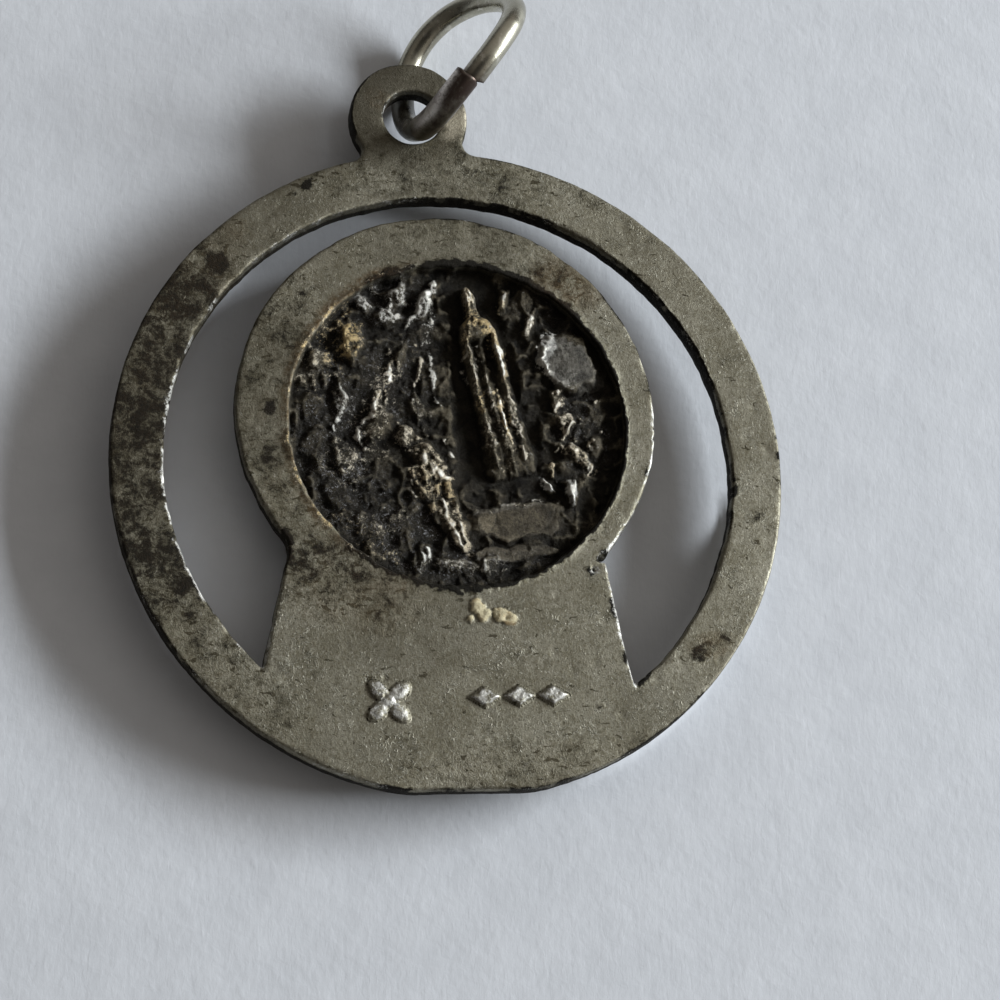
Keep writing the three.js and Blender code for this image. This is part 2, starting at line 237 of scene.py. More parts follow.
def facet_share(x, y, centre_x, centre_y, long, wide, turn, seed):
    """How far out of an uneven polygon's centre a place lies: 1 on its outline."""
    along, across = turned(x - centre_x, y - centre_y, turn)
    along, across = along / long, across / wide
    rng = np.random.default_rng(seed)
    share = np.zeros_like(x)
    for side in range(6):
        angle = 2 * math.pi * (side + rng.uniform(-0.3, 0.3)) / 6
        toward = along * math.cos(angle) + across * math.sin(angle)
        share = np.maximum(share, toward / rng.uniform(0.8, 1.0))
    return share


def box_share(x, y, centre_x, centre_y, long, wide, turn):
    """How far out of a round-cornered box's centre a place lies: 1 on its outline."""
    along, across = turned(x - centre_x, y - centre_y, turn)
    return ((along / long) ** 4 + (across / wide) ** 4) ** 0.25


def stroke_distance(x, y, x0, y0, x1, y1):
    run_x, run_y = x1 - x0, y1 - y0
    share = np.clip(((x - x0) * run_x + (y - y0) * run_y) / (run_x**2 + run_y**2), 0, 1)
    return np.hypot(x - x0 - share * run_x, y - y0 - share * run_y)


# Small nicks in the pierced edges: x, y, radius
NICKS = (
    (5.55, -3.45, 0.16),
    (5.25, -3.9, 0.09),
    (7.62, 1.35, 0.07),
    (7.58, 0.35, 0.06),
    (7.25, -0.75, 0.07),
    (6.35, -2.5, 0.08),
    (-10.52, 1.7, 0.06),
    (-9.9, -3.6, 0.07),
    (-8.3, 6.45, 0.07),
)


def panel_distance(x, y):
    """Distance to the flared panel: its sides run through the necks and the notches."""
    neck_y = MEDALLION_Y - math.sqrt(MEDALLION_RADIUS**2 - NECK_HALF_WIDTH**2)
    notch_half = NECK_HALF_WIDTH + PANEL_FLARE
    notch_y = -math.sqrt(INNER_RADIUS**2 - notch_half**2)
    flare = PANEL_FLARE / (neck_y - notch_y)
    half = NECK_HALF_WIDTH + flare * (neck_y - y)
    middle = MEDALLION_X * (y + RING_RADIUS) / (MEDALLION_Y + RING_RADIUS)
    sides = (np.abs(x - middle) - half) / math.hypot(1, flare)
    return np.maximum(np.maximum(sides, y - MEDALLION_Y), np.hypot(x, y) - INNER_RADIUS - 0.5)


def lug_distance(x, y):
    disc = np.hypot(x - LUG_X, y - LUG_Y) - LUG_RADIUS
    across, along = turned(x, y, LUG_LEAN)
    neck = np.maximum(np.abs(across) - LUG_NECK_HALF, np.abs(along - LUG_DISTANCE + 1) - 1)
    return np.minimum(disc, neck)


def plan_distance(x, y):
    """Distance to the plate's edge seen from above: below zero in the metal."""
    radius = np.hypot(x, y)
    ring = np.maximum(radius - RING_RADIUS, INNER_RADIUS - radius)
    medallion = np.hypot(x - MEDALLION_X, y - MEDALLION_Y) - MEDALLION_RADIUS
    inside = smooth_union(medallion, panel_distance(x, y), NECK_FILLET)
    whole = smooth_union(np.minimum(ring, inside), lug_distance(x, y), LUG_FILLET)
    whole = np.maximum(whole, HOLE_RADIUS - np.hypot(x - HOLE_X, y - HOLE_Y))
    flat = turned(x, y, FILED_FLAT_TURN)[0] - (RING_RADIUS - FILED_FLAT_DEPTH)
    whole = -smooth_union(-whole, -flat, FLAT_FILLET)
    pierced = smooth_step(RING_RADIUS, INNER_RADIUS, radius)
    wander = EDGE_WANDER * (0.35 + pierced) * cell_noise(x, y, 1.7, 21)
    rough = EDGE_ROUGH * (0.6 + pierced) * rough_noise(x, y, 0.4, 22, 2)
    for nick_x, nick_y, size in NICKS:
        whole = -smooth_union(-whole, np.hypot(x - nick_x, y - nick_y) - size, size)
    return whole + wander + rough


# Rounded rocks: x, y, half length, half width, turn, rise
ROCKS = (
    (-0.36, 0.8, 0.13, 0.07, 70, 0.8),
    (-0.2, 0.78, 0.16, 0.06, 62, 0.85),
    (-0.42, 0.68, 0.1, 0.07, 20, 0.7),
    (-0.56, 0.74, 0.09, 0.06, 140, 0.7),
    (-0.64, 0.5, 0.17, 0.11, 75, 0.85),
    (-0.83, 0.36, 0.12, 0.09, 60, 0.75),
    (-0.7, 0.12, 0.12, 0.08, 100, 0.62),
    (-0.86, 0.08, 0.12, 0.08, 80, 0.55),
    (-0.84, -0.16, 0.14, 0.1, 100, 0.55),
    (-0.67, -0.24, 0.14, 0.1, 110, 0.66),
    (-0.7, -0.46, 0.14, 0.1, 130, 0.58),
    (-0.52, -0.63, 0.18, 0.1, 140, 0.58),
    (-0.46, 0.0, 0.15, 0.1, 50, 0.72),
    (-0.46, -0.3, 0.13, 0.1, 80, 0.5),
    (-0.33, -0.62, 0.12, 0.08, 60, 0.48),
    (-0.24, 0.12, 0.12, 0.07, 120, 0.6),
    (-0.33, 0.42, 0.13, 0.06, 80, 0.55),
    (0.42, 0.8, 0.13, 0.06, 100, 0.6),
    (0.43, 0.68, 0.12, 0.05, 72, 0.8),
    (0.28, 0.82, 0.1, 0.05, 85, 0.7),
    (0.61, 0.22, 0.09, 0.06, 100, 0.66),
    (0.65, 0.06, 0.09, 0.06, 110, 0.72),
    (0.74, -0.14, 0.12, 0.06, 130, 0.74),
    (0.84, 0.14, 0.14, 0.08, 80, 0.5),
    (0.84, -0.08, 0.1, 0.07, 80, 0.6),
    (0.53, -0.35, 0.06, 0.04, 130, 0.85),
    (0.68, -0.38, 0.11, 0.04, 98, 0.92),
    (0.02, -0.86, 0.2, 0.06, 175, 0.58),
    (-0.18, -0.8, 0.1, 0.06, 80, 0.56),
    (0.2, -0.84, 0.1, 0.06, 60, 0.6),
)

# Smooth forms, the boulder, the slab and a low step under it: as the rocks, then tone and warmth
SMOOTH_FORMS = (
    (0.67, 0.46, 0.215, 0.17, 118, 0.84, 0.27, 0.15),
    (0.36, -0.57, 0.31, 0.125, 9, 0.6, 0.2, 0.6),
    (0.34, -0.76, 0.28, 0.05, 9, 0.44, 0.16, 0.5),
)

# Standing veiled figure: the ends of its axis, and its half width and rise down that axis, all in shares
STANDING_TOP = (0.045, 0.885)
STANDING_FOOT = (0.345, -0.3)
STANDING_DOWN = (0.0, 0.02, 0.07, 0.12, 0.16, 0.2, 0.28, 0.45, 0.65, 0.85, 0.96, 1.0)
STANDING_HALF = (0.015, 0.03, 0.038, 0.034, 0.045, 0.085, 0.105, 0.11, 0.115, 0.125, 0.135, 0.12)
STANDING_RISE = (0.55, 0.85, 1.0, 0.92, 0.75, 0.92, 0.96, 0.92, 0.88, 0.84, 0.76, 0.4)

# Kneeling veiled figure in profile: x, y, half length, half width, turn, rise
KNEELING = (
    (-0.305, -0.08, 0.085, 0.065, 112, 0.88),
    (-0.2, -0.2, 0.17, 0.11, 128, 0.78),
    (-0.16, -0.33, 0.21, 0.14, 112, 0.74),
    (-0.08, -0.48, 0.17, 0.105, 112, 0.7),
    (0.0, -0.63, 0.17, 0.088, 120, 0.68),
)

# Edges and folds that stand out, with painted highlights on the boulder's left edge: x0, y0, x1, y1, half
# width, wear, warmth
STROKES = (
    # Standing figure: veil, shoulders, the mantle's right fall and left fall
    (0.035, 0.87, 0.045, 0.79, 0.014, 0.7, 0.4),
    (0.06, 0.86, 0.075, 0.76, 0.014, 0.75, 0.45),
    (0.055, 0.7, 0.045, 0.6, 0.012, 0.4, 0.8),
    (0.1, 0.69, 0.2, 0.62, 0.014, 0.6, 0.9),
    (0.19, 0.61, 0.22, 0.52, 0.014, 0.8, 0.75),
    (0.215, 0.6, 0.255, 0.48, 0.016, 0.9, 0.45),
    (0.235, 0.5, 0.265, 0.38, 0.012, 0.9, 0.5),
    (0.26, 0.42, 0.285, 0.31, 0.012, 0.85, 0.5),
    (0.285, 0.32, 0.31, 0.24, 0.011, 0.8, 0.45),
    (0.31, 0.24, 0.36, 0.12, 0.01, 0.65, 0.3),
    (0.36, 0.12, 0.37, 0.02, 0.01, 0.6, 0.2),
    (0.37, 0.02, 0.42, -0.19, 0.008, 0.6, 0.3),
    (0.045, 0.6, 0.055, 0.5, 0.01, 0.5, 0.6),
    (0.055, 0.5, 0.03, 0.38, 0.008, 0.6, 0.3),
    (0.03, 0.38, 0.065, 0.26, 0.008, 0.65, 0.2),
    (0.065, 0.26, 0.035, 0.14, 0.008, 0.5, 0.2),
    # Its robe's folds
    (0.085, 0.51, 0.12, 0.3, 0.012, 0.65, 0.25),
    (0.12, 0.3, 0.15, 0.1, 0.013, 0.6, 0.7),
    (0.15, 0.1, 0.19, -0.02, 0.01, 0.7, 0.25),
    (0.19, -0.02, 0.27, -0.25, 0.009, 0.6, 0.2),
    (0.12, 0.5, 0.145, 0.4, 0.008, 0.5, 0.2),
    (0.145, 0.4, 0.175, 0.26, 0.008, 0.55, 0.3),
    (0.175, 0.26, 0.205, 0.08, 0.008, 0.6, 0.2),
    (0.24, 0.22, 0.272, 0.08, 0.017, 0.85, 0.75),
    (0.272, 0.08, 0.3, -0.03, 0.017, 0.95, 0.8),
    (0.3, -0.03, 0.335, -0.11, 0.013, 0.8, 0.7),
    (0.29, 0.18, 0.33, 0.05, 0.009, 0.6, 0.3),
    (0.33, 0.05, 0.385, -0.12, 0.009, 0.6, 0.3),
    # Kneeling figure: veil, shoulders, joined hands, back and skirt
    (-0.345, -0.01, -0.3, -0.1, 0.014, 0.45, 0.45),
    (-0.32, -0.02, -0.25, -0.13, 0.01, 0.5, 0.3),
    (-0.3, -0.11, -0.27, -0.2, 0.018, 0.5, 0.4),
    (-0.235, -0.09, -0.15, -0.18, 0.012, 0.6, 0.45),
    (-0.18, -0.14, -0.08, -0.26, 0.014, 0.6, 0.45),
    (-0.27, -0.2, -0.2, -0.26, 0.012, 0.5, 0.35),
    (-0.215, -0.22, -0.14, -0.29, 0.016, 0.75, 0.35),
    (-0.15, -0.26, -0.05, -0.32, 0.018, 0.84, 0.45),
    (-0.265, -0.27, -0.25, -0.44, 0.01, 0.6, 0.3),
    (-0.22, -0.3, -0.19, -0.42, 0.01, 0.45, 0.5),
    (-0.18, -0.33, -0.14, -0.46, 0.016, 0.55, 0.5),
    (-0.12, -0.34, -0.1, -0.45, 0.012, 0.5, 0.75),
    (-0.06, -0.36, -0.04, -0.48, 0.012, 0.6, 0.85),
    (-0.085, -0.47, -0.05, -0.57, 0.01, 0.75, 0.3),
    (-0.055, -0.48, -0.01, -0.58, 0.01, 0.75, 0.45),
    (-0.045, -0.58, 0.01, -0.7, 0.012, 0.8, 0.45),
    (-0.005, -0.58, 0.05, -0.7, 0.012, 0.75, 0.4),
    (0.015, -0.69, 0.05, -0.77, 0.012, 0.75, 0.3),
    (0.055, -0.7, 0.085, -0.76, 0.01, 0.65, 0.3),
    # Rock edges at the upper left and in the middle
    (-0.155, 0.88, -0.2, 0.79, 0.022, 0.9, 0.05),
    (-0.2, 0.79, -0.26, 0.7, 0.015, 0.6, 0.05),
    (-0.26, 0.7, -0.3, 0.6, 0.01, 0.5, 0.05),
    (-0.16, 0.75, -0.18, 0.65, 0.02, 0.75, 0.05),
    (-0.17, 0.58, -0.19, 0.53, 0.014, 0.75, 0.05),
    (-0.35, 0.9, -0.33, 0.82, 0.011, 0.65, 0.05),
    (-0.37, 0.82, -0.34, 0.76, 0.01, 0.55, 0.05),
    (-0.42, 0.73, -0.39, 0.67, 0.02, 0.7, 0.05),
    (-0.59, 0.8, -0.55, 0.74, 0.01, 0.75, 0.0),
    (-0.55, 0.74, -0.5, 0.72, 0.01, 0.65, 0.0),
    (-0.17, 0.5, -0.15, 0.28, 0.009, 0.55, 0.05),
    (-0.15, 0.28, -0.11, 0.1, 0.009, 0.55, 0.05),
    (-0.09, 0.0, -0.04, -0.18, 0.011, 0.85, 0.2),
    (-0.24, 0.5, -0.215, 0.4, 0.013, 0.55, 0.4),
    (-0.215, 0.4, -0.25, 0.28, 0.012, 0.6, 0.35),
    (-0.25, 0.28, -0.3, 0.2, 0.01, 0.5, 0.3),
    (-0.3, 0.19, -0.23, 0.11, 0.008, 0.45, 0.1),
    (-0.42, 0.45, -0.43, 0.34, 0.016, 0.55, 0.4),
    (-0.41, 0.33, -0.41, 0.26, 0.016, 0.9, 0.3),
    (-0.42, 0.26, -0.46, 0.16, 0.018, 0.8, 0.5),
    (-0.46, 0.16, -0.52, 0.05, 0.022, 0.8, 0.3),
    (-0.52, 0.05, -0.59, -0.07, 0.013, 0.75, 0.15),
    (-0.59, -0.07, -0.53, -0.19, 0.013, 0.75, 0.2),
    (-0.62, 0.62, -0.575, 0.5, 0.016, 0.6, 0.9),
    (-0.58, 0.5, -0.61, 0.41, 0.016, 0.6, 0.9),
    (-0.68, 0.55, -0.66, 0.42, 0.04, 0.38, 0.9),
    (-0.66, 0.39, -0.63, 0.33, 0.01, 0.45, 0.8),
    (-0.87, 0.43, -0.85, 0.34, 0.016, 0.5, 0.45),
    (-0.84, 0.3, -0.79, 0.29, 0.016, 0.5, 0.45),
    (-0.7, 0.2, -0.64, 0.12, 0.014, 0.65, 0.05),
    (-0.66, 0.1, -0.7, 0.0, 0.013, 0.75, 0.0),
    (-0.76, 0.08, -0.72, -0.07, 0.008, 0.7, 0.0),
    (-0.68, -0.2, -0.66, -0.31, 0.03, 0.3, 0.4),
    # Right side: flecks, the boulder's left edge as a painted highlight, leaves and bright lumps
    (0.45, 0.76, 0.42, 0.66, 0.016, 0.95, 0.3),
    (0.41, 0.64, 0.39, 0.58, 0.008, 0.55, 0.1),
    (0.28, 0.87, 0.27, 0.82, 0.01, 0.6, 0.1),
    (0.265, 0.8, 0.26, 0.74, 0.016, 0.65, 0.6),
    (0.58, 0.61, 0.53, 0.52, 0.018, 0.8, 0.0),
    (0.53, 0.52, 0.505, 0.43, 0.022, 0.9, 0.05),
    (0.51, 0.4, 0.58, 0.345, 0.014, 0.9, 0.1),
    (0.58, 0.345, 0.66, 0.31, 0.009, 0.55, 0.1),
    (0.52, -0.32, 0.55, -0.37, 0.016, 1.0, 0.0),
    (0.68, -0.3, 0.67, -0.38, 0.022, 0.95, 0.0),
    (0.68, -0.38, 0.7, -0.48, 0.012, 0.85, 0.0),
    (0.58, -0.19, 0.59, -0.27, 0.008, 0.55, 0.6),
    # Ledges at the foot
    (0.06, -0.52, 0.2, -0.5, 0.008, 0.35, 0.1),
    (0.2, -0.5, 0.36, -0.465, 0.009, 0.5, 0.1),
    (0.36, -0.465, 0.52, -0.43, 0.009, 0.6, 0.1),
    (0.52, -0.43, 0.6, -0.44, 0.009, 0.45, 0.1),
    (-0.2, -0.78, -0.18, -0.83, 0.009, 0.75, 0.0),
    (-0.16, -0.77, -0.15, -0.83, 0.009, 0.75, 0.0),
    (0.17, -0.81, 0.18, -0.87, 0.012, 0.7, 0.0),
    (0.05, -0.84, 0.12, -0.8, 0.012, 0.4, 0.1),
)

# Areas rubbed through the dark colour, and the boulder's painted highlights: x, y, half length, half width,
# turn, tone, warmth
PATCHES = (
    # Rocks
    (-0.71, 0.52, 0.21, 0.14, 75, 0.4, 0.8),
    (-0.66, 0.51, 0.13, 0.055, 82, 0.62, 0.95),
    (-0.86, 0.37, 0.12, 0.055, 60, 0.46, 0.3),
    (-0.8, 0.62, 0.1, 0.04, 55, 0.5, 0.6),
    (-0.48, 0.8, 0.15, 0.1, 20, 0.3, 0.05),
    (-0.36, 0.83, 0.1, 0.06, 100, 0.44, 0.0),
    (-0.42, 0.7, 0.08, 0.05, 60, 0.52, 0.0),
    (-0.58, 0.76, 0.08, 0.05, 130, 0.46, 0.0),
    (-0.22, 0.77, 0.15, 0.05, 60, 0.52, 0.0),
    (-0.17, 0.67, 0.09, 0.045, 80, 0.5, 0.0),
    (-0.18, 0.53, 0.07, 0.03, 80, 0.45, 0.1),
    (-0.23, 0.42, 0.1, 0.035, 85, 0.3, 0.6),
    (-0.35, 0.47, 0.06, 0.04, 60, 0.28, 0.4),
    (-0.45, 0.24, 0.22, 0.06, 62, 0.46, 0.4),
    (-0.5, 0.02, 0.13, 0.09, 40, 0.36, 0.35),
    (-0.5, -0.12, 0.11, 0.07, 120, 0.32, 0.4),
    (-0.45, 0.09, 0.1, 0.05, 30, 0.46, 0.35),
    (-0.67, 0.14, 0.11, 0.06, 120, 0.4, 0.1),
    (-0.69, 0.03, 0.09, 0.035, 100, 0.46, 0.0),
    (-0.8, 0.22, 0.15, 0.1, 20, 0.3, 0.45),
    (-0.66, -0.26, 0.16, 0.11, 110, 0.38, 0.35),
    (-0.18, 0.02, 0.13, 0.05, 105, 0.28, 0.3),
    (-0.23, 0.12, 0.11, 0.05, 120, 0.26, 0.3),
    (-0.15, 0.36, 0.2, 0.02, 97, 0.36, 0.05),
    (-0.4, -0.6, 0.18, 0.08, 20, 0.3, 0.4),
    (-0.62, -0.66, 0.22, 0.06, 142, 0.3, 0.6),
    (-0.44, -0.78, 0.16, 0.05, 155, 0.3, 0.6),
    (0.43, 0.68, 0.09, 0.03, 75, 0.55, 0.3),
    (0.26, 0.8, 0.08, 0.03, 82, 0.36, 0.6),
    (0.3, -0.49, 0.26, 0.03, 10, 0.28, 0.3),
    (0.08, -0.86, 0.26, 0.05, 5, 0.34, 0.2),
    (-0.25, -0.86, 0.15, 0.05, 170, 0.24, 0.1),
    # Standing figure
    (0.055, 0.82, 0.08, 0.038, 80, 0.5, 0.65),
    (0.08, 0.68, 0.07, 0.05, 60, 0.4, 0.85),
    (0.15, 0.63, 0.115, 0.055, 150, 0.54, 0.9),
    (0.225, 0.53, 0.12, 0.05, 112, 0.62, 0.75),
    (0.265, 0.4, 0.14, 0.04, 105, 0.54, 0.65),
    (0.045, 0.53, 0.12, 0.03, 88, 0.36, 0.8),
    (0.115, 0.33, 0.2, 0.034, 100, 0.38, 0.5),
    (0.14, 0.15, 0.11, 0.03, 95, 0.42, 0.85),
    (0.275, 0.08, 0.15, 0.038, 110, 0.56, 0.8),
    (0.345, 0.12, 0.15, 0.022, 103, 0.36, 0.4),
    (0.35, -0.09, 0.11, 0.045, 110, 0.36, 0.5),
    (0.215, 0.0, 0.26, 0.085, 108, 0.33, 0.45),
    # Kneeling figure
    (-0.31, -0.09, 0.1, 0.06, 110, 0.46, 0.4),
    (-0.2, -0.19, 0.15, 0.075, 138, 0.48, 0.5),
    (-0.11, -0.29, 0.12, 0.05, 158, 0.62, 0.55),
    (-0.18, -0.38, 0.14, 0.085, 110, 0.46, 0.65),
    (-0.06, -0.42, 0.13, 0.05, 100, 0.5, 0.8),
    (-0.035, -0.55, 0.13, 0.055, 115, 0.56, 0.5),
    (0.03, -0.69, 0.12, 0.05, 120, 0.58, 0.5),
    (-0.25, -0.32, 0.11, 0.03, 95, 0.38, 0.4),
    # Bush and lumps
    (0.64, 0.12, 0.16, 0.045, 98, 0.42, 0.4),
    (0.67, -0.05, 0.13, 0.06, 112, 0.44, 0.45),
    (0.76, -0.16, 0.11, 0.045, 130, 0.44, 0.5),
    (0.79, -0.13, 0.1, 0.02, 92, 0.5, 0.2),
    (0.78, 0.1, 0.15, 0.09, 90, 0.2, 0.2),
    (0.58, -0.22, 0.07, 0.025, 92, 0.36, 0.7),
    (0.68, -0.38, 0.1, 0.03, 97, 0.62, 0.0),
    (0.53, -0.34, 0.05, 0.028, 130, 0.7, 0.0),
    # The boulder's left edge: painted highlights
    (0.55, 0.54, 0.13, 0.045, 68, 0.66, 0.0),
    (0.52, 0.44, 0.07, 0.032, 105, 0.66, 0.0),
    (0.6, 0.345, 0.09, 0.022, 155, 0.46, 0.1),
)

# Areas of fine grit where glints are painted: x, y, half length, half width, turn, amount
GRIT_WITH_GLINTS = (
    (-0.76, -0.1, 0.36, 0.26, 90, 0.85),
    (-0.62, -0.45, 0.36, 0.26, 130, 1.0),
    (-0.36, -0.58, 0.28, 0.2, 0, 0.75),
    (-0.2, -0.78, 0.42, 0.16, 170, 0.9),
    (0.2, -0.85, 0.42, 0.11, 10, 0.5),
    (-0.62, 0.35, 0.32, 0.32, 0, 0.5),
    (-0.3, 0.3, 0.2, 0.42, 0, 0.4),
    (-0.42, 0.76, 0.32, 0.2, 20, 0.55),
    (0.76, 0.0, 0.2, 0.32, 0, 0.45),
    (0.5, 0.75, 0.3, 0.12, 150, 0.25),
)

# Leaves of the bush: x, y, radius
LEAVES = (
    (0.62, 0.24, 0.022),
    (0.66, 0.19, 0.018),
    (0.61, 0.15, 0.02),
    (0.65, 0.09, 0.026),
    (0.68, 0.03, 0.026),
    (0.63, 0.03, 0.018),
    (0.64, -0.03, 0.022),
    (0.69, -0.07, 0.022),
    (0.71, -0.13, 0.02),
    (0.77, -0.13, 0.016),
    (0.76, -0.19, 0.022),
    (0.8, -0.23, 0.024),
    (0.8, -0.06, 0.022),
    (0.79, -0.11, 0.018),
    (0.87, 0.02, 0.016),
    (0.73, 0.1, 0.016),
    (0.84, 0.2, 0.014),
    (0.59, -0.12, 0.014),
)


class Relief:
    """Relief as fields on a square grid, which any point can read: rise, wear and painted highlights, warmth,
    smoothness, grit.
    """

    HALF = 1.12
    STEP = 0.0045

    def __init__(self):
        count = int(2 * self.HALF / self.STEP) + 1
        line = np.linspace(-self.HALF, self.HALF, count)
        x, y = np.meshgrid(line, line, indexing="ij")
        warp_x = x + WARP * rough_noise(x, y, 0.1, 41, 4)
        warp_y = y + WARP * rough_noise(x, y, 0.1, 51, 4)
        self.smooth = np.zeros_like(x)
        self.wear_and_highlight, self.warm = np.zeros_like(x), np.zeros_like(x)
        rise = self.rocks(warp_x, warp_y)
        rise = np.maximum(rise, self.figures(x + (warp_x - x) * 0.4, y + (warp_y - y) * 0.4))
        lift = self.strokes(x + (warp_x - x) * 0.9, y + (warp_y - y) * 0.9)
        self.patches(warp_x, warp_y)
        self.rise = np.clip(rise + lift * (1 - 0.5 * rise), 0.02, 1.12)
        self.hollow = self.rise - self.blurred(self.rise, NARROW_MEAN)
        self.broad = self.rise - self.blurred(self.blurred(self.rise, BROAD_MEAN), BROAD_MEAN)
        self.grit = np.zeros_like(x)
        for *ellipse, amount in GRIT_WITH_GLINTS:
            inside = np.clip(1 - ellipse_share(x, y, *ellipse), 0, 1)
            self.grit = np.maximum(self.grit, amount * smooth_step(0, 0.6, inside))

    def rocks(self, x, y):
        """Rough ground with cut rocks, lowered where the niche is open behind the standing figure."""
        ridged = ridged_noise(x, y, 0.15, 61, 5)
        grit = rough_noise(x, y, 0.04, 71, 3)
        rise = 0.08 + 0.5 * ridged + 0.08 * grit
        for place, (centre_x, centre_y, long, wide, turn, top) in enumerate(ROCKS):
            share = facet_share(x, y, centre_x, centre_y, long * 1.15, wide * 1.2, turn, 200 + place)
            sloped = top * np.clip((1.12 - share) * 1.5, 0, 1) * (0.72 + 0.34 * ridged)
            rise = np.maximum(rise, sloped + 0.06 * grit * (share < 1))
        rise = rise * (1 - 0.85 * self.niche(x, y))
        frayed = rough_noise(x, y, 0.07, 247, 3)
        whole = smooth_step(0.0, 0.09, np.abs(rough_noise(x, y, 0.17, 246, 3) - 0.12))
        for place, (centre_x, centre_y, long, wide, turn, top, tone, warmth) in enumerate(SMOOTH_FORMS):
            share = 0.6 * facet_share(x, y, centre_x, centre_y, long * 1.1, wide * 1.1, turn, 240 + place)
            share = share + 0.4 * box_share(x, y, centre_x, centre_y, long, wide, turn)
            dented = 1 - 0.16 * ridged_noise(x, y, 0.35, 245, 4)
            mound = top * dented * smooth_step(1.15, 0.75, share)
            mound = mound * (1.04 - 0.16 * share) * (0.95 + 0.05 * whole)
            clear = smooth_step(1.05, 0.78, share + 0.25 * ridged + 0.24 * frayed) * (mound > rise - 0.1)
            self.smooth = np.maximum(self.smooth, clear)
            # Painted light: each smooth form is lighter on its left side and darker on its right
            leftward = 1 - 0.42 * np.clip((x - centre_x) / 0.17, -1, 1)
            tone_and_painted_light = tone * clear * leftward * (0.4 + 0.6 * whole) * (1 + 0.35 * frayed)
            self.wear_and_highlight = np.maximum(self.wear_and_highlight, tone_and_painted_light)
            self.warm = np.where(clear > 0.3, warmth, self.warm)
            rise = np.maximum(rise, mound)
        return rise

    def niche(self, x, y):
        down = np.clip((0.97 - y) / 1.27, 0, 1)
        middle = 0.08 + 0.19 * down
        half = 0.15 + 0.15 * down
        side = 1 - smooth_step(half - 0.06, half, np.abs(x - middle))
        return side * smooth_step(-0.42, -0.3, y)

    def figures(self, x, y):
        run_x, run_y = STANDING_FOOT[0] - STANDING_TOP[0], STANDING_FOOT[1] - STANDING_TOP[1]
        height = math.hypot(run_x, run_y)
        down = ((x - STANDING_TOP[0]) * run_x + (y - STANDING_TOP[1]) * run_y) / height**2
        across = ((x - STANDING_TOP[0]) * run_y - (y - STANDING_TOP[1]) * run_x) / height**2
        half = np.interp(down, STANDING_DOWN, STANDING_HALF)
        top = np.interp(down, STANDING_DOWN, STANDING_RISE)
        share = np.clip(np.abs(across) / half, 0, 1)
        round_body = np.sqrt(1 - 0.96 * share**4)
        robed = smooth_step(0.25, 0.3, down)
        folds = 0.5 + 0.5 * np.cos(across / half * 9.5 + 0.8 * np.sin(9 * down))
        arch = smooth_step(0.25, 0.29, down) * (1 - smooth_step(0.36, 0.62, down))
        opening = arch * (1 - smooth_step(0.45, 0.62, share))
        rise = top * round_body * (1 - robed * 0.26 * (1 - folds)) - 0.4 * opening
        streaky = ridged_noise(across * 3.2, down * 0.9, 0.09, 86, 4)
        rise = np.where((down > 0) & (down < 1) & (share < 1), rise * (0.84 + 0.26 * streaky), 0)
        worn = ridged_noise(x * 0.9 + y * 0.45, (y * 0.9 - x * 0.45) * 0.4, 0.07, 85, 4)
        for *ellipse, lift in KNEELING:
            inside = np.clip(1 - ellipse_share(x, y, *ellipse), 0, 1)
            rise = np.maximum(rise, lift * inside**0.4 * (0.72 + 0.36 * worn))
        return rise + 0.1 * rough_noise(x, y, 0.04, 81, 3) * (rise > 0)

    def strokes(self, x, y):
        """Crests along the strokes and leaves, broken where the weaker ones cross rough places."""
        lift = np.zeros_like(x)
        ragged = rough_noise(x, y, 0.03, 83, 3) + 0.5 * rough_noise(x, y, 0.07, 84, 2)
        broken = rough_noise(x, y, 0.075, 87, 3)
        leaves = tuple((a - r / 2, b - r / 2, a + r / 2, b + r, r * 0.42, 0.75, 0.4) for a, b, r in LEAVES)
        for x0, y0, x1, y1, half, strength, warmth in STROKES + leaves:
            away = stroke_distance(x, y, x0, y0, x1, y1) / (half * 1.45) + 0.8 * ragged
            whole = smooth_step(-0.35, 0.1, broken + strength - 0.55)
            core = np.clip(1.05 - away, 0, 1) * whole
            lift = np.maximum(lift, (0.08 + 0.14 * strength) * core)
            stronger = strength * core > self.wear_and_highlight
            self.warm = np.where(stronger, warmth, self.warm)
            self.wear_and_highlight = np.maximum(self.wear_and_highlight, strength * np.clip(core * 1.5, 0, 1))
        return lift

    def patches(self, x, y):
        """Rubbed areas and the painted highlights on the boulder's edge: broken by noise, and only where the
        strokes aren't stronger.
        """
        broken = rough_noise(x, y, 0.06, 89, 4)
        for centre_x, centre_y, long, wide, turn, tone, warmth in PATCHES:
            inside = 1 - ellipse_share(x, y, centre_x, centre_y, long * 1.1, wide * 1.15, turn)
            amount = tone * smooth_step(-0.25, 0.55, inside + 0.55 * broken)
            amount = amount * (inside > -0.8)
            stronger = amount > self.wear_and_highlight
            self.warm = np.where(stronger, warmth, self.warm)
            self.wear_and_highlight = np.where(stronger, amount, self.wear_and_highlight)

    def blurred(self, field, reach):
        """The field averaged over a square that reaches that many grid points each way."""
        for axis in (0, 1):
            margin = [(reach + 1, reach) if a == axis else (0, 0) for a in (0, 1)]
            total = np.cumsum(np.pad(field, margin, "edge"), axis)
            ahead = np.take(total, range(2 * reach + 1, total.shape[axis]), axis)
            behind = np.take(total, range(0, total.shape[axis] - 2 * reach - 1), axis)
            field = (ahead - behind) / (2 * reach + 1)
        return field

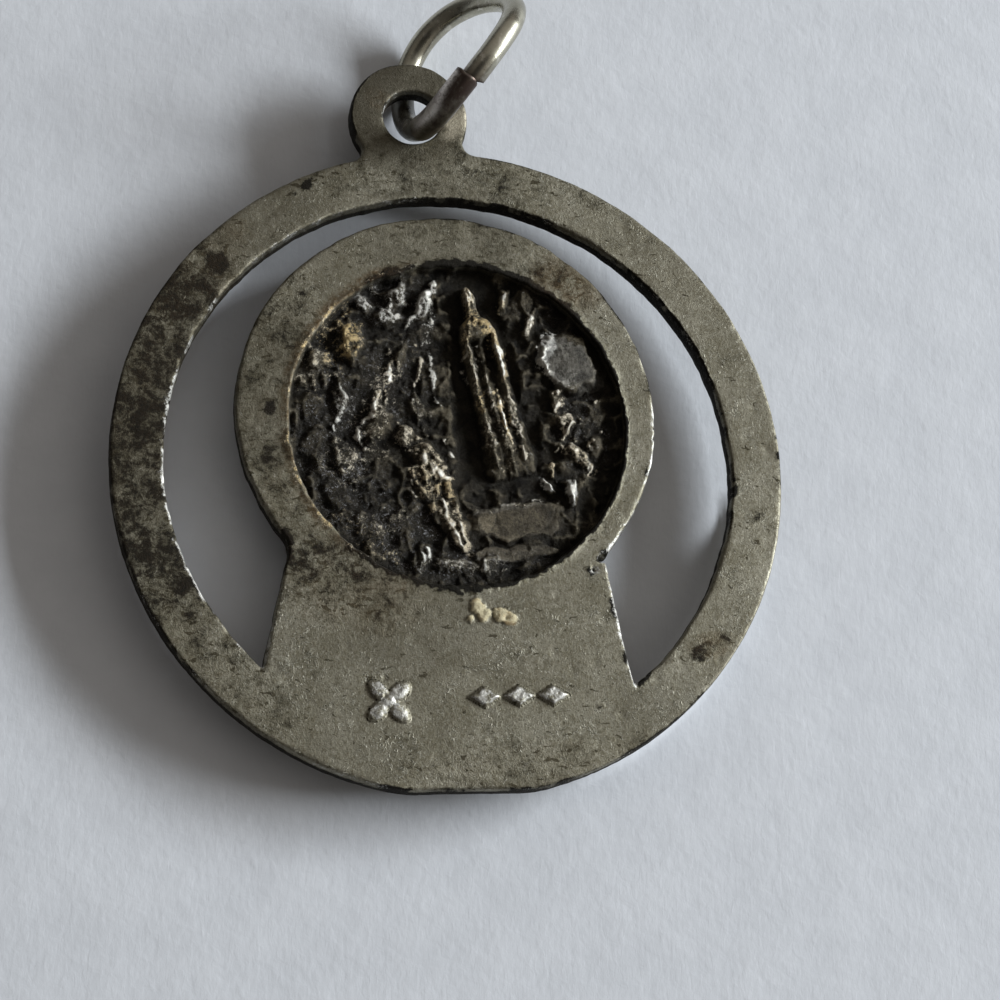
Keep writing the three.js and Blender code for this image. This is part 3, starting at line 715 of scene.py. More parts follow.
    def read(self, field, x, y):
        """The field's value at places given in millimetres."""
        count = field.shape[0]
        u = np.clip(((x - RECESS_X) / RECESS_RADIUS + self.HALF) / self.STEP, 0, count - 2)
        v = np.clip(((y - RECESS_Y) / RECESS_RADIUS + self.HALF) / self.STEP, 0, count - 2)
        i, j = u.astype(int), v.astype(int)
        a, b = u - i, v - j
        low = field[i, j] * (1 - a) + field[i + 1, j] * a
        high = field[i, j + 1] * (1 - a) + field[i + 1, j + 1] * a
        return low * (1 - b) + high * b


relief = Relief()


def border_distance(x, y):
    """How far inside the recess's ragged border a place lies."""
    away = np.hypot(x - RECESS_X, y - RECESS_Y)
    angle = np.degrees(np.arctan2(y - RECESS_Y, x - RECESS_X))
    ragged = 0.5 + smooth_step(60, 20, np.abs(angle + 90)) + 0.7 * smooth_step(50, 15, np.abs(angle - 90))
    wander = 0.07 * ragged * rough_noise(x, y, 0.45, 91, 3)
    return RECESS_RADIUS + wander - away


def ornament_rise(x, y):
    """Rise of the floret and the row of lozenges over the plate."""
    u, v = x - FLORET_X, y - FLORET_Y
    rise = np.clip(1 - (np.hypot(u, v) / (PETAL_WIDTH * 0.5)) ** 4, 0, 1)
    for place in range(PETAL_COUNT):
        turn = math.degrees((place + 0.5) * 2 * math.pi / PETAL_COUNT)
        reach = PETAL_LENGTH / 2 * 1.04
        out_x, out_y = (part * PETAL_LENGTH / 2 for part in turned(1, 0, -turn))
        inside = 1 - ellipse_share(u, v, out_x, out_y, reach, PETAL_WIDTH / 2, turn)
        rise = np.maximum(rise, np.sqrt(np.clip(inside, 0, 1)) * 0.95)
    along, across = turned(x - LOZENGE_ROW_X, y - LOZENGE_ROW_Y, LOZENGE_ROW_TURN)
    for place in (-1, 0, 1):
        away = np.abs(along - place * LOZENGE_PITCH) / LOZENGE_LENGTH + np.abs(across) / LOZENGE_WIDTH
        rise = np.maximum(rise, np.clip((0.72 - away) / 0.3, 0, 1) ** 0.7)
    worn = 1 - 0.22 * np.abs(rough_noise(x, y, 0.22, 101, 3))
    return ORNAMENT_RISE * rise * worn


# Cream crust left on the plate: x, y, half length, half width, turn
CRUST = (
    (0.95, -5.58, 0.44, 0.34, 120),
    (1.14, -5.82, 0.34, 0.26, 20),
    (1.8, -5.76, 0.42, 0.34, -15),
    (2.06, -5.88, 0.32, 0.28, 40),
    (0.66, -5.98, 0.18, 0.12, 30),
)


def crust_share(x, y):
    """0 on bare metal, up to 1 in the middle of the crust."""
    share = np.zeros_like(x)
    ragged = 0.6 * rough_noise(x, y, 0.22, 111, 4)
    for ellipse in CRUST:
        share = np.maximum(share, 1 - ellipse_share(x, y, *ellipse) + ragged)
    return np.clip(share, 0, 1)


def scattered_pits(x, y, count, seed, radius, depth):
    """Depth of small round pits strewn over the plate."""
    rng = np.random.default_rng(seed)
    places = rng.uniform(-RING_RADIUS, RING_RADIUS, (count, 2))
    sizes = radius * rng.uniform(0.5, 1.3, count)
    sunk = np.zeros_like(x)
    for (pit_x, pit_y), size in zip(places, sizes):
        near = np.flatnonzero((np.abs(x - pit_x) < size) & (np.abs(y - pit_y) < size))
        away = np.hypot(x[near] - pit_x, y[near] - pit_y) / size
        sunk[near] = np.maximum(sunk[near], depth * np.clip(1 - away * away, 0, 1))
    return sunk


def top_height(x, y, inward):
    """Height of the upper surface, where inward is the distance from the plate's edge."""
    radius = EDGE_ROUND * (1 + 0.45 * cell_noise(x, y, 1.1, 121))
    near = np.clip(1 - inward / radius, 0, 1)
    rounding = radius * (1 - np.sqrt(1 - near * near))
    wavy = 0.012 * cell_noise(x, y, 3.1, 122) + 0.006 * rough_noise(x, y, 0.6, 123, 3)
    pits = scattered_pits(x, y, PIT_COUNT, 124, PIT_RADIUS, PIT_DEPTH)
    level = PLATE_TOP - rounding + wavy - pits + ornament_rise(x, y) + CRUST_RISE * crust_share(x, y) ** 0.6
    inside = border_distance(x, y)
    lip = LIP_RISE * np.exp(-((inside + 0.1) / LIP_WIDTH) ** 2) * (1 + cell_noise(x, y, 0.5, 125))
    sunk = PLATE_TOP - RECESS_DEPTH * (1 - relief.read(relief.rise, x, y))
    wall = smooth_step(-0.01, 0.11, inside)
    return (level + lip) * (1 - wall) + sunk * wall


def front_height(x, y):
    """Height of the hidden lower surface, with its plain disc that the medal lies on."""
    away = np.hypot(x - MEDALLION_X, y - MEDALLION_Y)
    share = np.clip((FRONT_DISC_RADIUS - away) / FRONT_DISC_DRAFT, 0, 1)
    return PLATE_BOTTOM * (1 - smooth_step(0, 1, share))


# Which way a cell of the grid is crossed, with the metal on the left: by the sum of its corners in the metal
# (1 south-west, 2 south-east, 4 north-east, 8 north-west), from one side of the cell to another
CROSSINGS = {
    1: ("SW",), 2: ("ES",), 3: ("EW",), 4: ("NE",), 5: ("SW", "NE"), 6: ("NS",), 7: ("NW",),
    8: ("WN",), 9: ("SN",), 10: ("ES", "WN"), 11: ("EN",), 12: ("WE",), 13: ("SE",), 14: ("WS",),
}


def edge_loops(step):
    """Closed loops of evenly spaced points on the plate's edge, with the metal on their left."""
    xs = np.arange(-RING_RADIUS - 1, RING_RADIUS + 1, step)
    ys = np.arange(-RING_RADIUS - 1, LUG_Y + LUG_RADIUS + 1, step)
    grid = plan_distance(*np.meshgrid(xs, ys, indexing="ij"))
    metal = (grid < 0).astype(int)
    code = metal[:-1, :-1] + 2 * metal[1:, :-1] + 4 * metal[1:, 1:] + 8 * metal[:-1, 1:]
    following, places = {}, {}
    for i, j in np.argwhere((code > 0) & (code < 15)):
        sides = {"S": (i, j, 0), "N": (i, j + 1, 0), "W": (i, j, 1), "E": (i + 1, j, 1)}
        for start, end in CROSSINGS[code[i, j]]:
            following[sides[start]] = sides[end]
    for i, j, upright in following:
        a = grid[i, j]
        b = grid[i, j + 1] if upright else grid[i + 1, j]
        share = a / (a - b)
        along_x, along_y = (0, share * step) if upright else (share * step, 0)
        places[i, j, upright] = (xs[i] + along_x, ys[j] + along_y)
    loops = []
    while following:
        start = next(iter(following))
        loop, at = [], start
        while at in following:
            loop.append(places[at])
            at = following.pop(at)
        loops.append(on_the_edge(respaced(np.array(loop), EDGE_STEP)))
    return loops


def respaced(loop, spacing):
    closed = np.vstack([loop, loop[:1]])
    run = np.concatenate([[0], np.cumsum(np.hypot(*np.diff(closed, axis=0).T))])
    count = max(12, round(run[-1] / spacing))
    at = np.linspace(0, run[-1], count, endpoint=False)
    return np.column_stack([np.interp(at, run, closed[:, 0]), np.interp(at, run, closed[:, 1])])


def slope_of(distance, points, reach=0.02):
    x, y = points.T
    along_x = (distance(x + reach, y) - distance(x - reach, y)) / (2 * reach)
    along_y = (distance(x, y + reach) - distance(x, y - reach)) / (2 * reach)
    return np.column_stack([along_x, along_y])


def on_the_edge(points):
    for _ in range(3):
        slope = slope_of(plan_distance, points)
        points = points - (plan_distance(*points.T) / (slope**2).sum(1))[:, None] * slope
    return points


def outward(points):
    slope = slope_of(plan_distance, points, 0.05)
    return slope / np.linalg.norm(slope, axis=1)[:, None]


def staggered_grid(low_x, low_y, high_x, high_y, step, seed):
    """Points on a triangular grid, each moved a little so that no rows show."""
    rows = np.arange(low_y, high_y, step * math.sqrt(0.75))
    columns = np.arange(low_x, high_x, step)
    x = columns[None, :] + np.where(np.arange(len(rows)) % 2, step / 2, 0)[:, None]
    y = np.repeat(rows[:, None], len(columns), axis=1)
    points = np.column_stack([x.ravel(), y.ravel()])
    return points + np.random.default_rng(seed).uniform(-0.14, 0.14, points.shape) * step


def needs_fine(x, y):
    """True where the upper surface has small forms."""
    return (border_distance(x, y) > 0.2) | (ornament_area(x, y) < 0) | (crust_area(x, y) < 0)


def ornament_area(x, y):
    floret = np.hypot(x - FLORET_X, y - FLORET_Y) - PETAL_LENGTH * 1.2
    row_height = np.abs(y - LOZENGE_ROW_Y) - LOZENGE_WIDTH
    row = np.maximum(np.abs(x - LOZENGE_ROW_X) - LOZENGE_PITCH * 1.6, row_height)
    return np.minimum(floret, row)


def crust_area(x, y):
    return np.hypot((x - 1.4) / 1.1, (y + 5.6) / 0.6) - 1


def border_rows():
    """Rows of points along both sides of the recess's ragged border."""
    count = round(2 * math.pi * RECESS_RADIUS / BORDER_STEP)
    angle = np.linspace(0, 2 * math.pi, count, endpoint=False)
    direction = np.column_stack([np.cos(angle), np.sin(angle)])
    centre = np.array([RECESS_X, RECESS_Y])
    rows = []
    for inside in BORDER_ROWS:
        radius = np.full(count, RECESS_RADIUS)
        for _ in range(6):
            points = centre + direction * radius[:, None]
            radius = radius + (border_distance(*points.T) - inside) * 0.7
        rows.append(centre + direction * radius[:, None])
    return rows


def top_points(loops):
    """Points of the upper surface that aren't on its edge."""
    kept = []
    for loop in loops:
        away = outward(loop)
        for row in EDGE_ROWS:
            points = loop - away * row
            steady = np.abs(plan_distance(*points.T) + row) < 0.25 * row + 0.004
            points = points[steady]
            kept.append(points[between_loops(loops, points)])
    kept.extend(border_rows())
    span = (-RING_RADIUS, -RING_RADIUS, RING_RADIUS, LUG_Y + LUG_RADIUS)
    coarse = staggered_grid(*span, PLATE_STEP, 131)
    x, y = coarse.T
    inside = border_distance(x, y)
    kept.append(coarse[(plan_distance(x, y) < -EDGE_ROWS[-1] - 0.05) & ~needs_fine(x, y) & (inside < -0.2)])
    fine = staggered_grid(*span, FINE_STEP, 132)
    x, y = fine.T
    kept.append(fine[needs_fine(x, y) & (plan_distance(x, y) < -EDGE_ROWS[-1] - 0.05)])
    return np.vstack(kept)


def front_points(loops):
    """Lower surface's points that aren't on its edge: rings around the disc's foot, and a coarse grid."""
    rings = []
    for away in np.linspace(FRONT_DISC_RADIUS - FRONT_DISC_DRAFT - 0.1, FRONT_DISC_RADIUS + 0.1, 9):
        angle = np.linspace(0, 2 * math.pi, 120, endpoint=False) + away
        ring = [MEDALLION_X + away * np.cos(angle), MEDALLION_Y + away * np.sin(angle)]
        rings.append(np.column_stack(ring))
    span = (-RING_RADIUS, -RING_RADIUS, RING_RADIUS, LUG_Y + LUG_RADIUS)
    coarse = staggered_grid(*span, FRONT_STEP, 133)
    x, y = coarse.T
    near_ring = np.abs(np.hypot(x - MEDALLION_X, y - MEDALLION_Y) - FRONT_DISC_RADIUS) < FRONT_STEP
    rings.append(coarse[(plan_distance(x, y) < -0.3) & ~near_ring])
    return np.vstack(rings)


def between_loops(loops, points):
    """True for points inside the metal: a line from each to +X crosses the loops an odd number of times."""
    odd = np.zeros(len(points), bool)
    x, y = points[:, :1], points[:, 1:]
    for loop in loops:
        x0, y0 = loop.T
        x1, y1 = np.roll(loop, -1, axis=0).T
        spans = (y0 > y) != (y1 > y)
        with np.errstate(divide="ignore", invalid="ignore"):
            crossing = x0 + (y - y0) * (x1 - x0) / (y1 - y0)
        odd ^= (spans & (x < crossing)).sum(1) % 2 == 1
    return odd


def triangulated(loops, points):
    """The flat mesh between the loops: its places, its triangles, and each loop's vertices in it."""
    bounds, edges, start = [], [], 0
    for loop in loops:
        count = len(loop)
        bounds.append(range(start, start + count))
        edges.extend((start + k, start + (k + 1) % count) for k in range(count))
        start += count
    places = [Vector(point) for point in np.vstack([*loops, points]).tolist()]
    made, _, faces, origins, _, _ = delaunay_2d_cdt(places, edges, [], 0, 1e-6, True)
    made, faces = np.array([tuple(point) for point in made]), np.array(faces)
    on_bound = np.array([min(origin, default=0) < start for origin in origins])
    unsure = on_bound[faces].all(1)
    kept = ~unsure
    kept[unsure] = between_loops(loops, made[faces[unsure]].mean(1))
    where = {old: new for new, olds in enumerate(origins) for old in olds}
    return made, faces[kept].tolist(), [[where[k] for k in bound] for bound in bounds]


def medal_mesh():
    """The whole medal as one closed mesh: upper surface, walls and lower surface."""
    loops = edge_loops(LOOP_GRID_STEP)
    top, top_faces, top_bounds = triangulated(loops, top_points(loops))
    inset = [loop - outward(loop) * FRONT_INSET for loop in loops]
    front, front_faces, front_bounds = triangulated(inset, front_points(loops))
    x, y = top.T
    points = [np.column_stack([top, top_height(x, y, np.maximum(0, -plan_distance(x, y)))])]
    faces = [tuple(face) for face in top_faces]
    front_start = len(top)
    points.append(np.column_stack([front, front_height(*front.T)]))
    faces.extend(tuple(front_start + k for k in reversed(face)) for face in front_faces)
    start = front_start + len(front)
    for loop, upper, lower in zip(loops, top_bounds, front_bounds):
        away = outward(loop)
        x, y = loop.T
        high = points[0][upper, 2]
        rows = [upper]
        for row in range(1, WALL_ROWS + 1):
            share = row / (WALL_ROWS + 1)
            level = high + (PLATE_BOTTOM - high) * share
            rough = WALL_ROUGH * cell_noise(x * 3, y * 3 + 9 * share, 0.5, 141)
            bulge = WALL_BULGE * math.sin(math.pi * share) + rough
            points.append(np.column_stack([loop + away * bulge[:, None], level]))
            rows.append(range(start, start + len(loop)))
            start += len(loop)
        rows.append([front_start + k for k in lower])
        for above, below in zip(rows, rows[1:]):
            count = len(loop)
            for k in range(count):
                after = (k + 1) % count
                faces.append((above[k], below[k], below[after], above[after]))
    return np.vstack(points), faces


def new_object(name, points, faces, material, attributes=None):
    mesh = bpy.data.meshes.new(name)
    mesh.from_pydata((np.asarray(points) * MM).tolist(), [], faces)
    mesh.shade_smooth()
    for key, values in (attributes or {}).items():
        layer = mesh.attributes.new(key, "FLOAT", "POINT")
        layer.data.foreach_set("value", np.asarray(values, np.float32))
    mesh.materials.append(material)
    made = bpy.data.objects.new(name, mesh)
    bpy.context.scene.collection.objects.link(made)
    return made


# Dark and brown stains: x, y, half length, half width, turn, strength, brownness
STAINS = (
    (-11.4, 1.2, 6.8, 2.0, 90, 0.74, 0.35),
    (-10.2, 6.2, 2.8, 1.5, 55, 0.78, 0.5),
    (-10.6, -4.6, 2.6, 1.5, 115, 0.7, 0.3),
    (-8.6, -8.0, 4.0, 1.9, 130, 0.42, 0.3),
    (-6.1, -1.8, 2.6, 1.6, 110, 0.5, 0.4),
    (-4.0, -4.8, 2.8, 1.5, -15, 0.62, 0.6),
    (-6.6, 3.0, 5.0, 1.6, 90, 0.46, 0.3),
    (-1.7, 14.2, 2.9, 2.6, 0, 0.16, 0.15),
    (0.0, 11.7, 8.0, 1.5, 0, 0.34, 0.1),
    (-0.5, 8.7, 5.5, 1.6, 0, 0.26, 0.1),
    (2.6, -11.4, 4.2, 0.9, 8, 0.34, 0.3),
    (4.3, 7.5, 1.3, 1.0, -30, 0.55, 1.0),
    (-8.95, 7.35, 0.6, 0.45, -40, 1.0, 0.2),
    (-10.2, 6.1, 1.5, 0.85, 55, 0.72, 0.5),
    (-11.3, 3.9, 1.6, 0.85, 72, 0.68, 0.5),
    (-11.7, 1.3, 1.6, 0.8, 85, 0.55, 0.5),
    (-11.6, -1.6, 1.5, 0.8, 98, 0.58, 0.4),
    (-10.9, -4.1, 1.3, 0.85, 112, 0.78, 0.3),
    (-9.6, -6.2, 1.6, 0.8, 125, 0.45, 0.4),
    (-7.4, -8.9, 1.8, 0.9, 140, 0.32, 0.4),
    (-5.65, 10.75, 0.28, 0.2, 60, 1.0, 0.1),
    (-6.1, 10.3, 0.14, 0.1, 20, 0.8, 0.1),
    (0.8, 11.8, 0.16, 0.1, 40, 0.7, 0.1),
    (-8.6, 8.4, 0.9, 0.5, 40, 0.42, 0.8),
    (-5.0, -4.2, 1.3, 1.0, 20, 0.72, 0.5),
    (-3.3, -4.6, 1.1, 0.5, -10, 0.5, 0.7),
    (-6.8, 1.6, 0.28, 0.22, 80, 0.9, 0.2),
    (-6.9, 3.1, 0.5, 0.35, 60, 0.45, 0.3),
    (-6.9, 5.4, 0.3, 0.16, 40, 0.7, 0.2),
    (-5.6, 6.3, 0.3, 0.16, 20, 0.65, 0.2),
    (-6.6, 0.2, 0.7, 0.4, 40, 0.5, 0.3),
    (-6.3, -1.2, 0.6, 0.4, 110, 0.45, 0.4),
    (4.3, 7.45, 0.75, 0.5, -40, 0.95, 1.0),
    (3.5, 7.7, 0.5, 0.35, -10, 0.85, 1.0),
    (9.55, -6.6, 0.8, 0.45, 20, 0.75, 0.9),
    (9.1, -6.9, 0.5, 0.35, 60, 0.8, 0.3),
    (10.2, -6.3, 0.35, 0.25, 10, 0.6, 0.4),
    (11.5, -1.5, 0.5, 0.25, 40, 0.45, 0.1),
    (9.9, 3.6, 0.2, 0.12, 60, 0.6, 0.1),
    (5.4, -9.05, 0.16, 0.09, 0, 0.8, 0.1),
    (1.1, 9.55, 0.35, 0.15, -10, 0.6, 0.2),
    (-2.95, 14.5, 0.4, 0.5, 60, 0.45, 1.0),
    (-1.9, -4.9, 0.22, 0.2, 30, 0.6, 0.9),
    (-2.2, -5.9, 0.3, 0.2, 10, 0.35, 0.6),
    (3.4, -11.6, 0.6, 0.25, 10, 0.45, 0.2),
    (6.6, -10.3, 0.6, 0.3, 30, 0.3, 0.2),
)

# Places that are darker all over: x, y, reach, strength
SHADES = (
    (-1.8, 14.3, 3.4, 1.0),
    (-11.9, 1.0, 5.2, 0.6),
    (-9.8, 6.4, 3.4, 0.38),
    (-7.6, 9.2, 3.0, 0.34),
    (-10.4, -4.2, 3.0, 0.25),
    (-0.5, 8.7, 3.8, 0.38),
    (-6.6, 2.5, 3.8, 0.42),
    (-1.5, -5.8, 3.4, 0.3),
    (7.7, -9.5, 2.4, 0.22),
)

# Edges made bright, by rubbing and by a painted highlight where they face the light: x, y, reach, strength
WORN_AND_LIT_EDGES = (
    (-10.4, 1.2, 2.4, 0.85),
    (-10.4, -1.6, 2.2, 1.0),
    (-9.3, -4.7, 2.2, 0.95),
    (-7.6, -7.3, 1.8, 0.75),
    (-9.3, 4.7, 1.8, 0.75),
    (-7.3, 7.7, 1.6, 0.45),
    (7.6, 1.2, 2.2, 1.0),
    (7.0, -1.4, 1.6, 0.8),
    (6.1, -2.9, 1.1, 0.95),
    (5.5, -4.6, 1.3, 1.0),
    (5.9, -6.2, 1.5, 1.0),
    (6.6, -7.7, 0.8, 0.8),
    (7.2, 3.6, 1.4, 0.45),
    (-6.3, 8.6, 2.2, 0.6),
    (-3.0, 10.2, 2.4, 0.5),
    (-1.6, 12.85, 0.8, 0.8),
    (-2.6, 14.4, 0.9, 0.6),
    (12.3, -2.0, 3.5, 0.35),
    (10.0, -7.4, 2.5, 0.35),
    (-3.6, -11.9, 2.4, 0.45),
    (3.6, -11.8, 2.0, 0.3),
)

# Edges with black spots beside the bright ones: x, y, reach, strength
SPOTTED_EDGES = (
    (5.6, -4.0, 1.2, 1.0),
    (5.9, -5.6, 1.4, 1.0),
    (6.6, -7.6, 0.9, 1.0),
    (7.6, 0.8, 1.6, 0.7),
    (12.1, 2.6, 2.6, 0.9),
    (10.6, 0.6, 2.4, 0.7),
    (-10.0, -4.2, 4.0, 0.6),
    (-6.0, -4.0, 1.6, 0.8),
)

# Edges made black, by grime and by painted shade where they turn from the light: x, y, reach, strength
GRIMY_AND_SHADED_EDGES = (
    (-3.9, 14.3, 1.8, 0.9),
    (-2.2, 16.1, 1.3, 0.7),
    (-0.2, 15.7, 1.3, 0.5),
    (8.5, 6.3, 4.5, 0.7),
    (10.4, 0.5, 3.5, 0.5),
    (1.0, 10.5, 4.0, 0.6),
    (-11.0, 6.3, 3.0, 0.6),
    (-12.4, 0.0, 4.0, 0.6),
    (-10.6, -6.5, 3.5, 0.6),
    (1.0, -12.3, 5.0, 0.7),
    (5.6, -3.5, 0.5, 1.0),
    (7.8, -9.7, 3.0, 0.6),
    (-6.1, -3.6, 1.6, 0.5),
)


def near_any(x, y, table):
    """The strongest entry whose reach covers each place."""
    best = np.zeros_like(x)
    for place_x, place_y, reach, strength in table:
        away = np.hypot(x - place_x, y - place_y) / reach
        best = np.maximum(best, strength * smooth_step(1.0, 0.55, away))
    return best


def medal_attributes(points):
    """What the metal's shader reads at each vertex."""
    x, y, z = points.T
    inward = np.maximum(0, -plan_distance(x, y))
    on_top = smooth_step(PLATE_TOP - 0.5, PLATE_TOP - 0.2, z) * (z > PLATE_BOTTOM + 0.1)
    inside = border_distance(x, y)
    recess = smooth_step(-0.02, 0.06, inside) * (z > PLATE_BOTTOM + 0.05)
    patchy = rough_noise(x, y, 0.9, 151, 5)
    fine = rough_noise(x, y, 0.22, 161, 3)

    dirt_and_shade, brown = np.zeros_like(x), np.zeros_like(x)
    for centre_x, centre_y, long, wide, turn, strength, brownness in STAINS:
        inner = 1 - ellipse_share(x, y, centre_x, centre_y, long * 1.15, wide * 1.15, turn)
        amount = strength * smooth_step(-0.5, 0.9, inner + 0.3 * patchy)
        brown = np.maximum(brown, brownness * amount)
        dirt_and_shade = np.maximum(dirt_and_shade, amount * (1 - 0.45 * brownness))
    angle = np.degrees(np.arctan2(y - RECESS_Y, x - RECESS_X))
    bare = smooth_step(62, 40, np.abs(np.mod(angle, 360) - 178))
    from_top, from_foot = np.abs(angle - 85), np.abs(angle + 95)
    reach = 0.14 + 0.14 * smooth_step(75, 30, from_top) + 0.16 * smooth_step(60, 20, from_foot)
    frayed = (0.07 + 0.45 * (reach - 0.14)) * rough_noise(x, y, 0.32, 169, 5)
    collar = smooth_step(0.0, 0.9, 1 + (inside + frayed) / reach / 1.15) * (1 - bare)
    dirt_and_shade = np.maximum(dirt_and_shade, 1.25 * collar * on_top)
    # Dark edges: grime and black spots, and painted shade on the edges turned from the light
    edge = smooth_step(0.14, 0.02, inward)
    dark_edge = edge * near_any(x, y, GRIMY_AND_SHADED_EDGES) * smooth_step(-0.8, 0.2, patchy + 0.3 * fine)
    spots = smooth_step(0.3, 0.05, inward) * near_any(x, y, SPOTTED_EDGES)
    dark_edge = np.maximum(dark_edge, spots * smooth_step(0.1, 0.45, rough_noise(x, y, 0.6, 167, 3)))
    dirt_and_shade = np.maximum(dirt_and_shade, 1.4 * dark_edge)
    raised = ornament_rise(x, y) / ORNAMENT_RISE
    foot = smooth_step(0.3, 0.1, raised) * (ornament_area(x, y) < 0) * smooth_step(0.0, 0.06, raised)
    dirt_and_shade = np.maximum(dirt_and_shade, 0.9 * foot)
    # Painted shade: the walls are darkened, less below the bright edges and most in the lug's hole
    walls = (1 - on_top) * (z > 0.1) * smooth_step(1.0, 0.3, inward / 0.1)
    in_hole = smooth_step(HOLE_RADIUS + 0.35, HOLE_RADIUS + 0.12, np.hypot(x - HOLE_X, y - HOLE_Y))
    dirt_and_shade = np.maximum(dirt_and_shade, walls * np.maximum(1.3 - 0.7 * near_any(x, y, WORN_AND_LIT_EDGES), 1.6 * in_hole))

    ragged = rough_noise(x, y, 0.35, 165, 3)
    # Bright edges: rubbed metal, with a painted highlight where an edge faces the light
    worn = near_any(x, y, WORN_AND_LIT_EDGES)
    width = 0.07 + 0.15 * worn**2
    bright_edge = smooth_step(1, 0.15, (inward + 0.08 * ragged) / width) * worn * (0.74 + 0.35 * fine)
    bright_edge = bright_edge * smooth_step(-0.75, -0.15, ragged)
    slight_edge = 0.3 * smooth_step(0.12, 0.03, inward) * smooth_step(0.0, 0.8, patchy)
    wear_and_highlight = np.maximum(bright_edge, slight_edge) * on_top
    rim = smooth_step(0.2, 0.03, np.abs(inside + 0.05 + 0.05 * ragged))
    rim = rim * smooth_step(-0.3, 0.35, ragged + 0.5 * fine)
    left_rim = smooth_step(75, 50, np.abs(np.mod(angle, 360) - 172))
    brown = np.maximum(brown, 0.9 * left_rim * smooth_step(0.34, 0.08, np.abs(inside + 0.16 + 0.08 * ragged)))
    wear_and_highlight = np.maximum(wear_and_highlight, rim * (0.1 + 0.4 * left_rim))
    wear_and_highlight = np.maximum(wear_and_highlight, smooth_step(0.25, 0.75, raised) * (0.54 + 0.3 * fine))

    fields = (relief.rise, relief.hollow, relief.wear_and_highlight, relief.smooth, relief.broad, relief.warm, relief.grit)
    rise, hollow, rubbed_and_highlit, smooth, broad, warm, grit = (relief.read(field, x, y) for field in fields)
    crest = smooth_step(-0.06, 0.1, hollow)
    rubbed_and_highlit = rubbed_and_highlit * np.where(smooth > 0.5, 1, 0.45 + 0.65 * crest)
    rubbed_and_highlit = np.maximum(rubbed_and_highlit, 0.34 * smooth_step(0.05, 0.16, hollow) * smooth_step(0.35, 0.7, rise))
    return {
        "wear_and_highlight": np.clip(wear_and_highlight * (1 - recess) + rubbed_and_highlit * recess, 0, 1),
        "warm": warm * recess + 0.95 * left_rim * rim * (1 - recess),
        "dirt_and_shade": np.clip(dirt_and_shade, 0, 1.6) * (1 - recess),
        "brown": np.clip(brown, 0, 1) * (1 - recess),
        "crust": smooth_step(0.08, 0.35, crust_share(x, y)) * on_top,
        "recess": recess,
        "hollow": np.clip(hollow * 3 + 0.5, 0, 1) * recess + 0.5 * (1 - recess),
        "grit": grit * recess,
        "broad": smooth_step(-0.08, 0.22, broad) * recess,
        "smooth": smooth * recess,
        "shade": np.clip(near_any(x, y, SHADES) * (1 + 0.3 * patchy), 0, 1) * (1 - recess),
        # Painted reflection: a cream patch on the lug's right side, thrown from the wire
        "painted_reflection": smooth_step(1.0, 0.1, ellipse_share(x, y, 0.0, 13.75, 1.0, 0.6, 55)) * on_top,
    }


# Colours, as linear red, green and blue
PEWTER_DARK = (0.205, 0.19, 0.14)
PEWTER_LIGHT = (0.29, 0.273, 0.212)
GRAIN_BROWN = (0.125, 0.108, 0.068)
BARE_METAL = (0.56, 0.54, 0.46)
CREASE_GREY = (0.5, 0.48, 0.4)
SHADE_OLIVE = (0.08, 0.071, 0.052)
# Cream of the painted reflection on the lug
PAINTED_REFLECTION = (0.62, 0.56, 0.43)
SPECK_BLACK = (0.04, 0.032, 0.018)
CRACK_BLACK = (0.045, 0.036, 0.02)
DASH_BLACK = (0.05, 0.042, 0.025)
RUST = (0.105, 0.062, 0.026)
VEIL = (0.052, 0.046, 0.029)
# Black of the dirt, and of the painted shade on the walls and edges
BLACK_DIRT_AND_SHADE = (0.012, 0.01, 0.006)
DIRT_BROWN = (0.05, 0.03, 0.013)
SILVER = (0.5, 0.49, 0.45)
GOLD = (0.5, 0.38, 0.19)
BRIGHT_METAL = (0.88, 0.86, 0.78)
RECESS_BLACK = (0.006, 0.005, 0.0035)
RECESS_DARK = (0.026, 0.022, 0.015)
STONE_FACE = (0.15, 0.126, 0.082)
STONE_CREST = (0.16, 0.14, 0.1)
# Grey of the painted glints
PAINTED_GLINT_GREY = (0.46, 0.46, 0.48)
CRUST_CREAM = (0.62, 0.55, 0.36)
CRUST_BROWN = (0.3, 0.2, 0.085)
WIRE_DARK = (0.36, 0.34, 0.27)
WIRE_LIGHT = (0.48, 0.46, 0.37)
WIRE_STREAK = (0.78, 0.75, 0.66)
WIRE_SPECK = (0.06, 0.045, 0.03)
WIRE_STAIN = (0.105, 0.078, 0.066)
# Black of the wire's painted shade and tarnish under the lug
WIRE_TARNISH_AND_SHADE = (0.02, 0.017, 0.012)
WIRE_SCRATCH = (0.62, 0.57, 0.52)
PAPER_DARK = (0.66, 0.68, 0.71)
PAPER_LIGHT = (0.7, 0.72, 0.75)
ROOM = (0.82, 0.77, 0.72)


